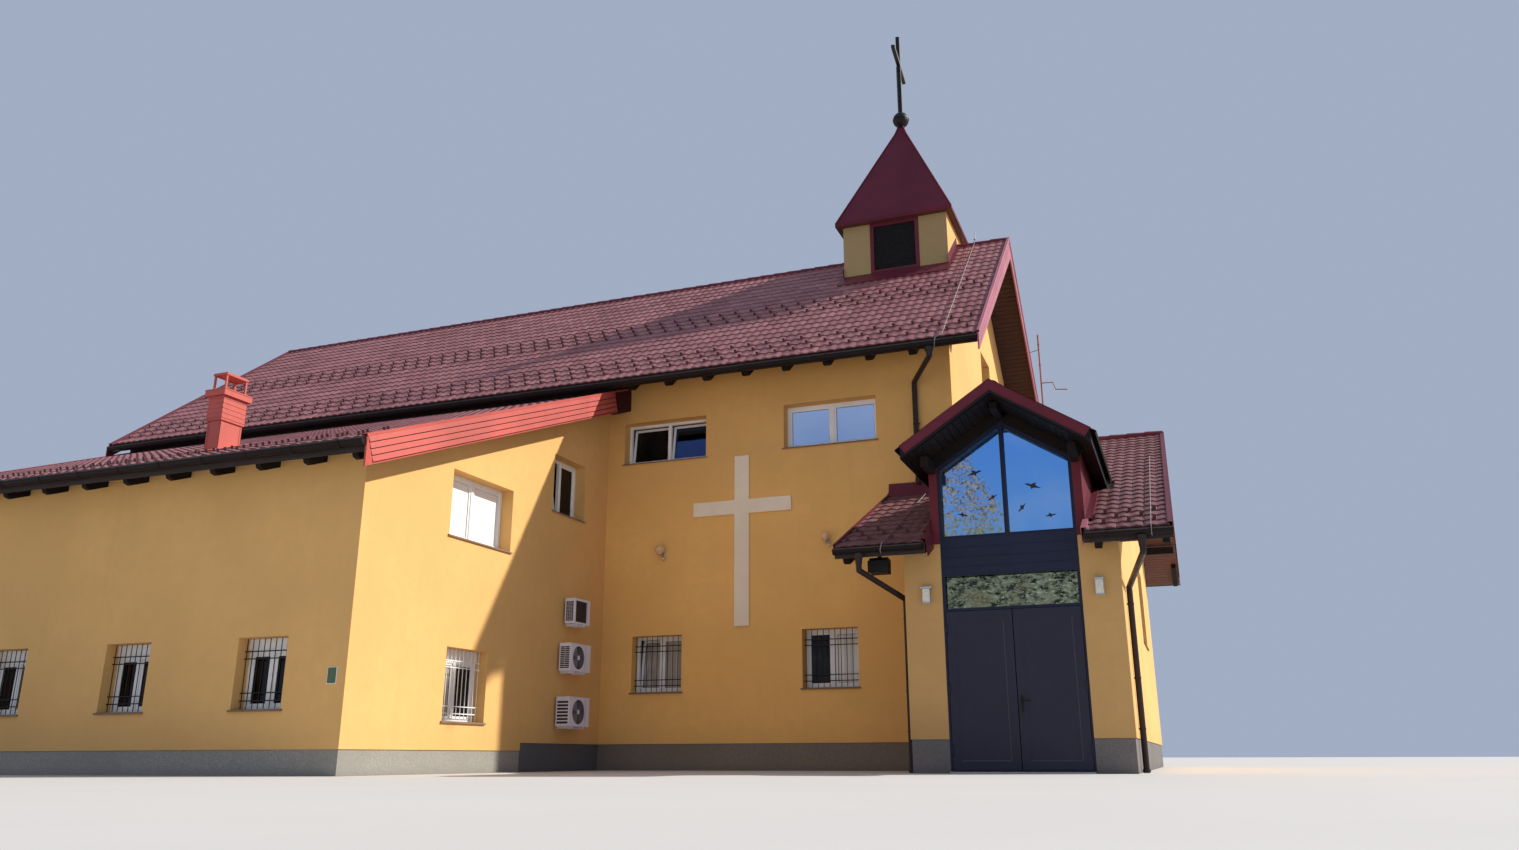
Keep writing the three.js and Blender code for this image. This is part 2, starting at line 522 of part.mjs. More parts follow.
// Chimney: a sheet-clad shaft with a wider head, a collar and a rain plate on four legs
const chimneyTop = [CHIMNEY.bodyTopZ - OVERLAP, CHIMNEY.plateZ[0] + OVERLAP];
const legCorners = [0, 1, 2, 3].map((i) => {
  const x = i % 2 ? CHIMNEY.x[1] - CHIMNEY_LEG : CHIMNEY.x[0];
  const y = i > 1 ? CHIMNEY.y[1] - CHIMNEY_LEG : CHIMNEY.y[0];
  return box([x, x + CHIMNEY_LEG], [y, y + CHIMNEY_LEG], chimneyTop);
});
part("chimney", union(
  cut(box(CHIMNEY.x, CHIMNEY.y, [0, CHIMNEY.bodyTopZ]), belowLine((y) => wingTop(y) + SEAM, past(CHIMNEY.y))),
  box(grow(CHIMNEY.x, CHIMNEY_BAND), grow(CHIMNEY.y, CHIMNEY_BAND), [CHIMNEY.bandZ, CHIMNEY.bodyTopZ]),
  box(
    grow(CHIMNEY.x, CHIMNEY_COLLAR.out),
    grow(CHIMNEY.y, CHIMNEY_COLLAR.out),
    [CHIMNEY.bodyTopZ - OVERLAP, CHIMNEY.bodyTopZ + CHIMNEY_COLLAR.tall],
  ),
  ...legCorners,
  box(CHIMNEY.x, CHIMNEY.y, CHIMNEY.plateZ),
), "redSheet");

// Verges: sheet-clad boards along the sloping roof edges, the hall's narrowing towards their feet
function hallVerge(name, x) {
  const [front, back] = grow(HALL_ROOF.eaves, VERGE.past);
  part(name, prism("X", x, [
    [front, hallTop(front) + VERGE.above], [front, hallTop(front) - VERGE.footDepth],
    [RIDGE_Y, hallTop(RIDGE_Y) - VERGE.ridgeDepth], [back, hallTop(back) - VERGE.footDepth],
    [back, hallTop(back) + VERGE.above], [RIDGE_Y, hallTop(RIDGE_Y) + VERGE.above],
  ]), "redSheet");
}

hallVerge("hall_verge_east", [HALL_ROOF.x[1] + SEAM, HALL_ROOF.x[1] + VERGE.thick]);
hallVerge("hall_verge_west", [HALL_ROOF.x[0] - VERGE.thick, HALL_ROOF.x[0] - SEAM]);
const vergeFoot = WING_ROOF.eaveY - WING_VERGE.past;
part("wing_verge", prism("X", [WING_ROOF.x[1] + SEAM, WING_ROOF.x[1] + VERGE.thick], [
  [vergeFoot, wingTop(vergeFoot) + WING_VERGE.above], [vergeFoot, wingTop(vergeFoot) - WING_VERGE.depth],
  [-SEAM, wingTop(0) - WING_VERGE.depth], [-SEAM, wingTop(0) + WING_VERGE.above],
]), "redSheet");

// Gutters: half-round channels closed at both ends, each against the edge of its roof
function gutter(name, x, eaveY, { radius, z }) {
  const y = eaveY - SEAM - radius;
  const halfRound = (inset) => Array.from({ length: GUTTER_FACETS + 1 }, (_, i) => {
    const angle = Math.PI * (1 + i / GUTTER_FACETS);
    return [y + (radius - inset) * Math.cos(angle), z + (radius * GUTTER_DROP - inset) * Math.sin(angle)];
  });
  const innerHalf = radius - GUTTER_SHEET;
  const trough = [...halfRound(GUTTER_SHEET), [y + innerHalf, z + THROUGH], [y - innerHalf, z + THROUGH]];
  part(name, cut(prism("X", x, halfRound(0)), prism("X", grow(x, -GUTTER_SHEET), trough)), "darkSheet");
}

const leftOfHood = [ENTRY_ROOF.x[0], notchX[0] - GUTTER_END_GAP];
const rightOfHood = [notchX[1] + GUTTER_END_GAP, ENTRY_ROOF.x[1]];
gutter("hall_gutter", [HALL_ROOF.x[0], HALL_ROOF.x[1] - OVERLAP], HALL_ROOF.eaves[0], HALL_GUTTER);
gutter("wing_gutter", WING_ROOF.x, WING_ROOF.eaveY, WING_GUTTER);
gutter("entrance_gutter_left", leftOfHood, ENTRY_ROOF.eaveY, ENTRY_GUTTER);
gutter("entrance_gutter_right", rightOfHood, ENTRY_ROOF.eaveY, ENTRY_GUTTER);

// Downpipes: down from the bottom of the gutter, back to the wall in one slanting run, then down it
const PIPE_SIDES = 16;
const KNEE_RINGS = 10;

function downpipe(name, eaveY, channel, pipe) {
  const outletY = eaveY - SEAM - channel.radius;
  const outletZ = channel.z - channel.radius * GUTTER_DROP - SEAM;
  const corners = [
    [pipe.outletX, outletY, outletZ], [pipe.outletX, outletY, pipe.kneeZ],
    [pipe.x, pipe.y, pipe.wallZ], [pipe.x, pipe.y, pipe.footZ],
  ];
  const runs = corners.slice(1).map((corner, i) => cylinder(pipe.radius, corners[i], corner, PIPE_SIDES));
  const knees = corners.slice(1, -1).map((corner) => {
    const knee = new THREE.SphereGeometry(pipe.radius + OVERLAP, PIPE_SIDES, KNEE_RINGS);
    knee.translate(...corner);
    return toSolid(knee);
  });
  part(name, union(...runs, ...knees), "darkSheet");
}

downpipe("hall_downpipe", HALL_ROOF.eaves[0], HALL_GUTTER, HALL_PIPE);
downpipe("entrance_downpipe_left", ENTRY_ROOF.eaveY, ENTRY_GUTTER, LEFT_PIPE);
downpipe("entrance_downpipe_right", ENTRY_ROOF.eaveY, ENTRY_GUTTER, RIGHT_PIPE);

// Facade cross
const CROSS = { x: [2851, 3153], z: [2630, 5980], armX: [1971, 4025], armZ: [4810, 5090], thick: 40 };
part("facade_cross", prism("Y", [-CROSS.thick, -SEAM], [
  [CROSS.x[0], CROSS.z[0]], [CROSS.x[1], CROSS.z[0]], [CROSS.x[1], CROSS.armZ[0]],
  [CROSS.armX[1], CROSS.armZ[0]], [CROSS.armX[1], CROSS.armZ[1]], [CROSS.x[1], CROSS.armZ[1]],
  [CROSS.x[1], CROSS.z[1]], [CROSS.x[0], CROSS.z[1]], [CROSS.x[0], CROSS.armZ[1]],
  [CROSS.armX[0], CROSS.armZ[1]], [CROSS.armX[0], CROSS.armZ[0]], [CROSS.x[0], CROSS.armZ[0]],
]), "cream");

// Window units: one piece each, a frame with its sashes and pane.
// place(along, depth, z) makes a box in the window's own wall.
function windowUnit(window, place) {
  const along = grow(window.along, -SEAM);
  const z = grow(window.z, -SEAM);
  const paneZ = grow(z, -UNIT.rim);
  const clear = (along[1] - along[0] - 2 * UNIT.rim - (window.panes - 1) * UNIT.mullion) / window.panes;
  const sinks = Array.from({ length: window.panes }, (_, i) => {
    const left = along[0] + UNIT.rim + i * (clear + UNIT.mullion);
    const span = [left, left + clear];
    return [
      place(span, [REVEAL - OVERLAP, REVEAL + UNIT.paneFace], paneZ),
      place(span, [REVEAL + UNIT.paneBack, REVEAL + UNIT.depth + OVERLAP], paneZ),
    ];
  });
  part(window.name, cut(place(along, [REVEAL, REVEAL + UNIT.depth], z), ...sinks.flat()), "whiteFrame");
}

const inHallFront = (along, depth, z) => box(along, depth, z);
const inWingEast = (along, depth, z) => box([-depth[1], -depth[0]], along, z);
for (const window of [...UPPER_HALL_WINDOWS, ...LOWER_HALL_WINDOWS]) windowUnit(window, inHallFront);
for (const window of WING_EAST_WINDOWS) windowUnit(window, inWingEast);

// Storey sheets of glass on the room side of the walls that are seen less or not at all
function sheetAlongX(name, y, windows) {
  const ends = windows.flatMap((w) => w.along);
  const x = grow([Math.min(...ends), Math.max(...ends)], SHEET_LAP);
  part(name, box(x, y, grow(windows[0].z, SHEET_LAP)), "glass");
}

const behind = (face) => [face + SEAM, face + SHEET_THICK];
const before = (face) => [face - SHEET_THICK, face - SEAM];
sheetAlongX("glass_wing_front", behind(wingFrontY[1]), WING_FRONT_WINDOWS);
sheetAlongX("glass_back_upper", before(hallBackY[0]), BACK_WINDOWS.upper);
sheetAlongX("glass_back_lower", before(hallBackY[0]), BACK_WINDOWS.lower);

function sheetAlongY(name, x, window) {
  part(name, box(x, grow(window.along, SHEET_LAP), grow(window.z, SHEET_LAP)), "glass");
}

sheetAlongY("glass_hall_gable", before(hallEastX[0]), GABLE_WINDOW);
sheetAlongY("glass_entrance_side", before(entryEastX[0]), ENTRY_SIDE_WINDOW);
const [wideWindow, smallWindow, lowWindow] = WING_EAST_WINDOWS;
const wideSheet = { along: grow(wideWindow.along, SHEET_LAP), z: grow(wideWindow.z, SHEET_LAP) };
const smallSheet = { along: grow(smallWindow.along, SHEET_LAP), z: grow(smallWindow.z, SHEET_LAP) };
part("glass_wing_west_upper", prism("X", behind(wingWestX[1]), [
  [wideSheet.along[0], wideSheet.z[0]], [smallSheet.along[1], wideSheet.z[0]],
  [smallSheet.along[1], smallSheet.z[1]], [smallSheet.along[0], smallSheet.z[1]],
  [smallSheet.along[0], wideSheet.z[1]], [wideSheet.along[0], wideSheet.z[1]],
]), "glass");
sheetAlongY("glass_wing_west_lower", behind(wingWestX[1]), lowWindow);

// Cooling units on wall brackets beside the wing's east wall
const CASE_BACK = 60;
const GRILLE = { depth: 12, share: 0.43, squareWidth: 1.05, sides: 32 };
const BRACKET = { wide: 40, drop: 40, back: 30, inset: 150, short: 20, topGap: 120 };
const COOLING_UNITS = [
  { name: "cooling_unit_top", front: 260, y: [-1575, -985], z: [2640, 3100], fanY: -1312, round: false },
  { name: "cooling_unit_middle", front: 295, y: [-1705, -960], z: [1765, 2258], fanY: -1405, round: true },
  { name: "cooling_unit_bottom", front: 335, y: [-1735, -1000], z: [780, 1290], fanY: -1402, round: true },
];

function coolingUnit({ name, front, y, z, fanY, round }) {
  const grilleX = [front - GRILLE.depth, front + OVERLAP];
  const fanZ = (z[0] + z[1]) / 2;
  const radius = (z[1] - z[0]) * GRILLE.share;
  const grille = round
    ? cylinder(radius, [grilleX[0], fanY, fanZ], [grilleX[1], fanY, fanZ], GRILLE.sides)
    : box(grilleX, centred(fanY, radius * GRILLE.squareWidth), centred(fanZ, radius));
  const armYs = [y[0] + BRACKET.inset, y[1] - BRACKET.inset - BRACKET.wide];
  const brackets = armYs.flatMap((armY) => [
    box([SEAM, front - BRACKET.short], [armY, armY + BRACKET.wide], [z[0] - BRACKET.drop, z[0] + OVERLAP]),
    box([SEAM, BRACKET.back], [armY, armY + BRACKET.wide], [z[0] - BRACKET.drop, z[1] - BRACKET.topGap]),
  ]);
  part(name, union(cut(box([CASE_BACK, front], y, z), grille), ...brackets), "coolerCase");
}

COOLING_UNITS.forEach(coolingUnit);

// Stand the whole building on Z 0 with the middle of its outline on the Z axis
group.updateMatrixWorld(true);
const bounds = new THREE.Box3().setFromObject(group);
const middle = bounds.getCenter(new THREE.Vector3());
for (const node of group.children) node.geometry.translate(-middle.x, -middle.y, -bounds.min.z);

export default group;
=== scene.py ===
"""A small modern church, dressed round its fixed frame with tiles, windows, sheet metal and materials."""

import math
import random

import bmesh
import bpy
from mathutils import Matrix, Vector


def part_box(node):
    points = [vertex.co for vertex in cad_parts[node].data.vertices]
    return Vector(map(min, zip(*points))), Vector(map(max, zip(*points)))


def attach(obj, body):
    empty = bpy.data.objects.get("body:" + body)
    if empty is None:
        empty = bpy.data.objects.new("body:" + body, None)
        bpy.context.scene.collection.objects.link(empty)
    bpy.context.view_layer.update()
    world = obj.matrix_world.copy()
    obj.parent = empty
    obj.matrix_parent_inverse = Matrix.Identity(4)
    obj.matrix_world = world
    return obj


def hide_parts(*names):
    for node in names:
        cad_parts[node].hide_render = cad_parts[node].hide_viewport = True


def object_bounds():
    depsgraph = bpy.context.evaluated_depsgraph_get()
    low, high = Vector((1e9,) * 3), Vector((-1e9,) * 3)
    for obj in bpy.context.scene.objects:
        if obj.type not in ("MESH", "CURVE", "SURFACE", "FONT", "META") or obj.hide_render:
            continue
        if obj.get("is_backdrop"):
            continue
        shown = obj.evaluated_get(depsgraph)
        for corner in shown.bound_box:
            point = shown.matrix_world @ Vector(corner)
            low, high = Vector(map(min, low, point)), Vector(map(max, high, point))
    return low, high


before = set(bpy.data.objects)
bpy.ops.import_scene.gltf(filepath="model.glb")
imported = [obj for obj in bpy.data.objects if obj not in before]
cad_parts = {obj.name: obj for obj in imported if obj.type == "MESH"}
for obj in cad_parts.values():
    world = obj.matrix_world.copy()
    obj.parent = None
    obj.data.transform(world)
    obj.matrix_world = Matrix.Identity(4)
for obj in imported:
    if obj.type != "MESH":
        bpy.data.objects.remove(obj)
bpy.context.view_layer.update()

# Places are metres from the inner corner where the wing meets the hall front, Z up from the paving
ORIGIN = Vector((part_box("wing_east_wall")[1].x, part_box("hall_front_wall")[0].y, 0))

# Camera and light
CAMERA_PLACE = (10.910, -20.000, 0.229)
LENS = 26.49
YAW, PITCH, ROLL = 20.66, 16.566, -0.141
SUN_WAY = (-0.726, -0.346, -0.594)
SUN_STRENGTH = 4.9
SUN_WIDTH = 1.2
SUN_TONE = (1.0, 0.96, 0.89)
SKY_TONE = (0.36, 0.42, 0.55, 1)
FLOOR_TONE = (0.60, 0.575, 0.54)
FLOOR_REACH = 260

# Roofs: height of the deck, its slope and its thickness measured straight down
RIDGE_Y = 4.37
HALL = {"ridge": 11.83, "pitch": 0.7989, "thick": 0.2, "eave": -0.9, "back": 9.64, "x": (-13.2, 7.945)}
WING = {"top": 7.64, "pitch": 0.395, "thick": 0.19, "eave": -7.8, "x": (-12.97, 0.44)}
ENTRY = {"ridge": 6.77345, "pitch": 0.435, "thick": 0.18, "eave": -3.5, "back": 9.64, "x": (5.93, 10.88)}
HOOD = {"mid": 8.51, "apex": 5.678, "pitch": 0.6472, "thick": 0.2, "half": 1.403, "y": (-3.87, 1.852)}
HALL_EAST_X = 7.236
HALL_WEST_X = -12.5
WING_FRONT_Y = -7.27
ENTRY_FRONT_Y = -3.0
ENTRY_WALL_X = (6.9, 10.11)
NOTCH_X = (7.3497, 9.6703)
TURRET_X = (4.305, 6.755)
TURRET_Y = (3.145, 5.595)

# Tiles
COVER = 0.375
COURSE = 0.329
TILE_LAP = 0.03
TILE_START = -0.045
TILE_FRONT = 0.030
TILE_THICK = 0.022
TILE_BACK = 0.012
WAVES_A_TILE = 2
WAVE_SAMPLES = 12
WAVE_RISE = 0.020
JOINT_HALF = 0.007
JOINT_DEPTH = 0.012


# Building closed solids

def along_axis(axis, along, u, v):
    """A place measured along an axis and across it."""
    return {"X": (along, u, v), "Y": (u, along, v), "Z": (u, v, along)}[axis]


class Shape:
    """The closed solids of one piece, with a finish number for each face."""

    def __init__(self):
        self.points = []
        self.faces = []
        self.finishes = []
        self.tones = []

    def add(self, points, faces, finish=0, tones=None):
        start = len(self.points)
        self.points.extend(tuple(point) for point in points)
        self.faces.extend(tuple(start + i for i in face) for face in faces)
        self.finishes.extend([finish] * len(faces))
        self.tones.extend(tones or [0.5] * len(faces))

    def loft(self, rings, finish=0):
        """A solid through rings of equal length, closed at both ends."""
        size = len(rings[0])
        faces = [tuple(reversed(range(size)))]
        for level in range(len(rings) - 1):
            low, high = level * size, (level + 1) * size
            for i in range(size):
                j = (i + 1) % size
                faces.append((low + i, low + j, high + j, high + i))
        faces.append(tuple((len(rings) - 1) * size + i for i in range(size)))
        self.add([point for ring in rings for point in ring], faces, finish)

    def box(self, x, y, z, finish=0):
        (left, right), (near, far) = sorted(x), sorted(y)
        corners = ((left, near), (right, near), (right, far), (left, far))
        self.loft([[(u, v, height) for u, v in corners] for height in sorted(z)], finish)

    def rim(self, x, y, z, inner, outer, reach):
        """Four boxes round a shaft, inner to outer beyond its sides; two of them run reach past its ends."""
        wide = (x[0] - outer, x[1] + outer)
        for side, out in ((0, -1), (1, 1)):
            self.box(wide, (y[side] + out * inner, y[side] + out * outer), z)
            self.box((x[side] + out * inner, x[side] + out * outer), (y[0] - reach, y[1] + reach), z)

    def prism(self, axis, span, outline, finish=0):
        """An outline drawn in the two other axes, carried along span."""
        self.loft([[along_axis(axis, place, u, v) for u, v in outline] for place in span], finish)

    def beam(self, start, end, wide, deep, up=(0, 0, 1), finish=0):
        """A straight bar with a rectangular section; deep is measured towards up."""
        start, end = Vector(start), Vector(end)
        along = (end - start).normalized()
        side = along.cross(Vector(up)).normalized() * (wide / 2)
        rise = side.cross(along).normalized() * (deep / 2)
        corners = [side - rise, side + rise, rise - side, -side - rise]
        self.loft([[centre + corner for corner in corners] for centre in (start, end)], finish)

    def tube(self, path, radius, sides=10, finish=0):
        """A round bar through the points of a path."""
        path = [Vector(point) for point in path]
        rings = []
        across = None
        for i, point in enumerate(path):
            along = (path[min(i + 1, len(path) - 1)] - path[max(i - 1, 0)]).normalized()
            guide = across or (Vector((0, 0, 1)) if abs(along.z) < 0.9 else Vector((1, 0, 0)))
            across = (guide - along * guide.dot(along)).normalized()
            other = along.cross(across)
            turns = [2 * math.pi * k / sides for k in range(sides)]
            rings.append([point + (across * math.cos(t) + other * math.sin(t)) * radius for t in turns])
        self.loft(rings, finish)

    def turned(self, centre, profile, axis="Z", sides=24, finish=0, closed=False):
        """A solid of revolution; profile is (radius, height), end to end or closed round a hollow middle."""
        rings = []
        for radius, height in profile:
            turns = [2 * math.pi * k / sides for k in range(sides)]
            ring = [along_axis(axis, height, radius * math.cos(t), radius * math.sin(t)) for t in turns]
            rings.append([Vector(centre) + Vector(point) for point in ring])
        if not closed:
            self.loft(rings, finish)
            return
        faces = []
        for level in range(len(rings)):
            low, high = level * sides, (level + 1) % len(rings) * sides
            for k in range(sides):
                j = (k + 1) % sides
                faces.append((low + k, low + j, high + j, high + k))
        self.add([point for ring in rings for point in ring], faces, finish)

    def collar(self, centre, profile, axis="Z", sides=24, finish=0):
        """A ring with a closed profile of (radius, height)."""
        self.turned(centre, profile, axis, sides, finish, closed=True)

    def make(self, name, materials, body="building", bevel=0, recalc=True):
        """Turns the solids into an object of the scene that rides on a body."""
        mesh = bpy.data.meshes.new(name)
        mesh.from_pydata([Vector(point) + ORIGIN for point in self.points], [], self.faces)
        for material in materials:
            mesh.materials.append(material)
        mesh.polygons.foreach_set("material_index", self.finishes)
        mesh.polygons.foreach_set("use_smooth", [True] * len(self.faces))
        mesh.attributes.new("tone", "FLOAT", "FACE").data.foreach_set("value", self.tones)
        if recalc:
            work = bmesh.new()
            work.from_mesh(mesh)
            bmesh.ops.recalc_face_normals(work, faces=work.faces)
            work.to_mesh(mesh)
            work.free()
        mesh.set_sharp_from_angle(angle=math.radians(32))
        made = bpy.data.objects.new(name, mesh)
        bpy.context.scene.collection.objects.link(made)
        if bevel:
            edge = made.modifiers.new("edge", "BEVEL")
            edge.width = bevel
            edge.segments = 2
            edge.limit_method = "ANGLE"
            edge.angle_limit = math.radians(40)
        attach(made, body)
        return made


class Slope:
    """A roof plane: foot is on its lower edge, run goes level along it and rise goes up it."""

    def __init__(self, foot, run, level, roof):
        self.foot = Vector(foot)
        self.run = Vector(run)
        self.cos = 1 / math.hypot(1, roof["pitch"])
        self.rise = Vector((level[0] * self.cos, level[1] * self.cos, roof["pitch"] * self.cos))
        self.normal = self.run.cross(self.rise)
        self.under = roof["thick"] * self.cos

    def point(self, along, up, lift):
        return self.foot + self.run * along + self.rise * up + self.normal * lift

    def carry(self, shape, along, outline, finish=0):
        """An outline of (up, lift), carried level along the slope."""
        shape.loft([[self.point(a, up, lift) for up, lift in outline] for a in along], finish)

    def slab(self, shape, along, up, lift, finish=0):
        """A box that lies on the slope."""
        (left, right), (low, high) = sorted(along), up
        corners = ((left, low), (right, low), (right, high), (left, high))
        shape.loft([[self.point(a, u, height) for a, u in corners] for height in lift], finish)

    def up_at(self, y):
        """How far up the slope the level place y is, where the slope runs along X."""
        return abs(y - self.foot.y) / self.cos


def hall_top(y):
    return HALL["ridge"] - abs(y - RIDGE_Y) * HALL["pitch"]


def entry_top(y):
    return ENTRY["ridge"] - abs(y - RIDGE_Y) * ENTRY["pitch"]


def hood_top(x):
    return HOOD["apex"] - abs(x - HOOD["mid"]) * HOOD["pitch"]


def wing_top(y):
    return WING["top"] + y * WING["pitch"]


hall_front = Slope((0, HALL["eave"], hall_top(HALL["eave"])), (1, 0, 0), (0, 1), HALL)
hall_back = Slope((0, HALL["back"], hall_top(HALL["back"])), (-1, 0, 0), (0, -1), HALL)
wing_slope = Slope((0, WING["eave"], wing_top(WING["eave"])), (1, 0, 0), (0, 1), WING)
entry_front = Slope((0, ENTRY["eave"], entry_top(ENTRY["eave"])), (1, 0, 0), (0, 1), ENTRY)
entry_back = Slope((0, ENTRY["back"], entry_top(ENTRY["back"])), (-1, 0, 0), (0, -1), ENTRY)
hood_x = (HOOD["mid"] - HOOD["half"], HOOD["mid"] + HOOD["half"])
hood_left = Slope((hood_x[0], 0, hood_top(hood_x[0])), (0, -1, 0), (1, 0), HOOD)
hood_right = Slope((hood_x[1], 0, hood_top(hood_x[1])), (0, 1, 0), (-1, 0), HOOD)
HALL_SLOPES = ((hall_front, 1), (hall_back, -1))
HOOD_SLOPES = ((hood_left, -1), (hood_right, 1))
SIDES = ((1, 0), (-1, 0), (0, 1), (0, -1))


# Materials

def shade(colour, amount):
    return tuple(channel * amount for channel in colour)


class Paint:
    """A procedural material: a shader with the nodes that vary its colour, roughness and relief."""

    def __init__(self, name, **constants):
        self.material = bpy.data.materials.new(name)
        self.material.use_nodes = True
        self.tree = self.material.node_tree
        self.shader = self.tree.nodes["Principled BSDF"]
        for socket, value in constants.items():
            self.shader.inputs[socket.replace("_", " ")].default_value = value
        self.place = self.node("TexCoord").outputs["Object"]

    def node(self, kind, inputs=None, **settings):
        made = self.tree.nodes.new("ShaderNode" + kind)
        for key, value in settings.items():
            setattr(made, key, value)
        for socket, value in (inputs or {}).items():
            if isinstance(value, bpy.types.NodeSocket):
                self.tree.links.new(value, made.inputs[socket])
            else:
                made.inputs[socket].default_value = value
        return made

    def noise(self, scale, detail=3.0, rough=0.5, stretch=None, turn=(0, 0, 0)):
        place = self.place
        if stretch:
            inputs = {"Vector": place, "Scale": stretch, "Rotation": turn}
            place = self.node("Mapping", inputs).outputs["Vector"]
        inputs = {"Vector": place, "Scale": scale, "Detail": detail, "Roughness": rough}
        return self.node("TexNoise", inputs).outputs["Fac"]

    def axis(self, name):
        return self.node("SeparateXYZ", {"Vector": self.place}).outputs[name]

    def math(self, operation, first, second):
        return self.node("Math", {0: first, 1: second}, operation=operation).outputs[0]

    def span(self, value, low, high, to_low=0.0, to_high=1.0):
        """Carries a value from one range to another, smoothly and without going past."""
        inputs = {"Value": value, "From Min": low, "From Max": high, "To Min": to_low, "To Max": to_high}
        return self.node("MapRange", inputs, interpolation_type="SMOOTHSTEP").outputs["Result"]

    def mix(self, factor, first, second, blend="MIX"):
        inputs = {0: factor, 6: first, 7: second}
        for socket in (6, 7):
            if not isinstance(inputs[socket], bpy.types.NodeSocket):
                inputs[socket] = (*inputs[socket], 1)
        return self.node("Mix", inputs, data_type="RGBA", blend_type=blend).outputs[2]

    def vary(self, source, low, high, colour, dark, light=1.0):
        """A colour that grows from darker to lighter while the source goes from low to high."""
        return self.mix(self.span(source, low, high), shade(colour, dark), shade(colour, light))

    def veil(self, tone, source, low, high, most, over):
        """Lays another tone over the first where the source is high, by that share at most."""
        return self.mix(self.span(source, low, high, 0, most), tone, over)

    def done(self, tone, layers=(), rough=None):
        """Sets the colour, the relief in layers of (height, depth) and roughness as (source, low, high)."""
        link = self.tree.links.new
        link(tone, self.shader.inputs["Base Color"])
        if rough:
            link(self.span(rough[0], 0.3, 0.7, *rough[1:]), self.shader.inputs["Roughness"])
        normal = None
        for height, depth in layers:
            inputs = {"Height": height, "Distance": depth, "Strength": 1.0}
            if normal:
                inputs["Normal"] = normal
            normal = self.node("Bump", inputs).outputs["Normal"]
        if normal:
            link(normal, self.shader.inputs["Normal"])
        return self.material


def plaster(name, colour, east=None, low=None):
    """Fine scratched plaster; east is (X, gain) past X, which lifts those faces out of a painted shade; low
    is the gain below the upper windows, a painted bounce light.
    """
    paint = Paint(name, Specular_IOR_Level=0.25)
    streak = paint.noise(1.0, 4, 0.6, stretch=(3.2, 3.2, 0.22))
    tone = paint.vary(paint.noise(0.55, 4), 0.35, 0.65, colour, 0.95, 1.05)
    tone = paint.veil(tone, paint.noise(5.0, 5, 0.6), 0.3, 0.7, 0.35, shade(colour, 0.90))
    tone = paint.veil(tone, streak, 0.55, 0.8, 0.25, shade(colour, 0.82))
    damp = paint.span(paint.axis("Z"), 0.45, 0.95, 0.35, 0.0)
    tone = paint.mix(damp, tone, shade(colour, 0.84))
    # Past X the faces are lifted out of the painted shade that a darker colour gives the rest
    if east:
        past = paint.span(paint.axis("X"), east[0] + ORIGIN.x - 0.004, east[0] + ORIGIN.x - 0.001)
        tone = paint.mix(past, tone, east[1], "MULTIPLY")
    # Below the upper windows the wall is lightened: painted bounce light from the paving
    if low:
        tone = paint.mix(paint.span(paint.axis("Z"), 4.4, 6.3, 1.0, 0.0), tone, low, "MULTIPLY")
    grain = paint.noise(210.0, 4, 0.6)
    layers = [(paint.noise(9.0, 3), 0.004), (paint.noise(70.0, 3), 0.0015), (grain, 0.0016)]
    return paint.done(tone, layers, (grain, 0.82, 0.95))


def pebbledash(name, colour, north=None):
    """Small rounded stones in mortar; north is (Y, gain) for the part past Y."""
    paint = Paint(name)
    stones = paint.node("TexVoronoi", {"Vector": paint.place, "Scale": 130.0}).outputs["Distance"]
    speck = paint.noise(60.0, 3)
    tone = paint.vary(stones, 0.05, 0.6, colour, 1.25, 0.7)
    tone = paint.veil(tone, speck, 0.4, 0.62, 0.5, shade(colour, 1.35))
    tone = paint.veil(tone, paint.noise(0.9, 4), 0.4, 0.65, 0.45, shade(colour, 0.75))
    tone = paint.mix(paint.span(paint.axis("Z"), 0.0, 0.16, 0.5, 0.0), tone, shade(colour, 0.62))
    # Past Y the stones are darkened; on the wing plinth that is partly a darker stain and partly painted
    # shade
    if north:
        past = paint.span(paint.axis("Y"), north[0] + ORIGIN.y, north[0] + ORIGIN.y + 0.004)
        tone = paint.mix(past, tone, north[1], "MULTIPLY")
    return paint.done(tone, [(stones, 0.004), (paint.noise(300.0, 2), 0.001)], (speck, 0.8, 0.95))


def clay(name, dark, light):
    """Coloured concrete tile: each tile has its own tone, with weathering across them."""
    paint = Paint(name, Specular_IOR_Level=0.4)
    tone = paint.mix(paint.node("Attribute", attribute_name="tone").outputs["Fac"], dark, light)
    tone = paint.veil(tone, paint.noise(1.3, 5, 0.6), 0.42, 0.7, 0.3, shade(dark, 0.85))
    tone = paint.veil(tone, paint.noise(38.0, 5, 0.7), 0.56, 0.72, 0.3, (0.46, 0.30, 0.28))
    streak = paint.noise(2.0, 4, 0.6, stretch=(5.0, 0.6, 0.6))
    tone = paint.veil(tone, streak, 0.5, 0.75, 0.2, shade(dark, 0.75))
    grain = paint.noise(320.0, 3)
    return paint.done(tone, [(paint.noise(45.0, 3), 0.0012), (grain, 0.0008)], (grain, 0.48, 0.68))


def sheet_metal(name, colour, rough=0.4, dust_cover=0.1, specular=0.4):
    """Coated sheet with faint waves, rain marks and a little dust."""
    paint = Paint(name, Specular_IOR_Level=specular)
    tone = paint.vary(paint.noise(0.8, 4), 0.35, 0.65, colour, 0.88, 1.1)
    rain = paint.noise(1.0, 4, 0.6, stretch=(6.0, 6.0, 0.35))
    tone = paint.veil(tone, rain, 0.5, 0.75, 0.35, shade(colour, 0.72))
    dust = paint.noise(26.0, 5, 0.65)
    tone = paint.veil(tone, dust, 0.58, 0.78, dust_cover, (0.45, 0.40, 0.36))
    layers = [(paint.noise(2.2, 2), 0.004), (paint.noise(140.0, 2), 0.0004)]
    return paint.done(tone, layers, (dust, rough - 0.07, rough + 0.1))


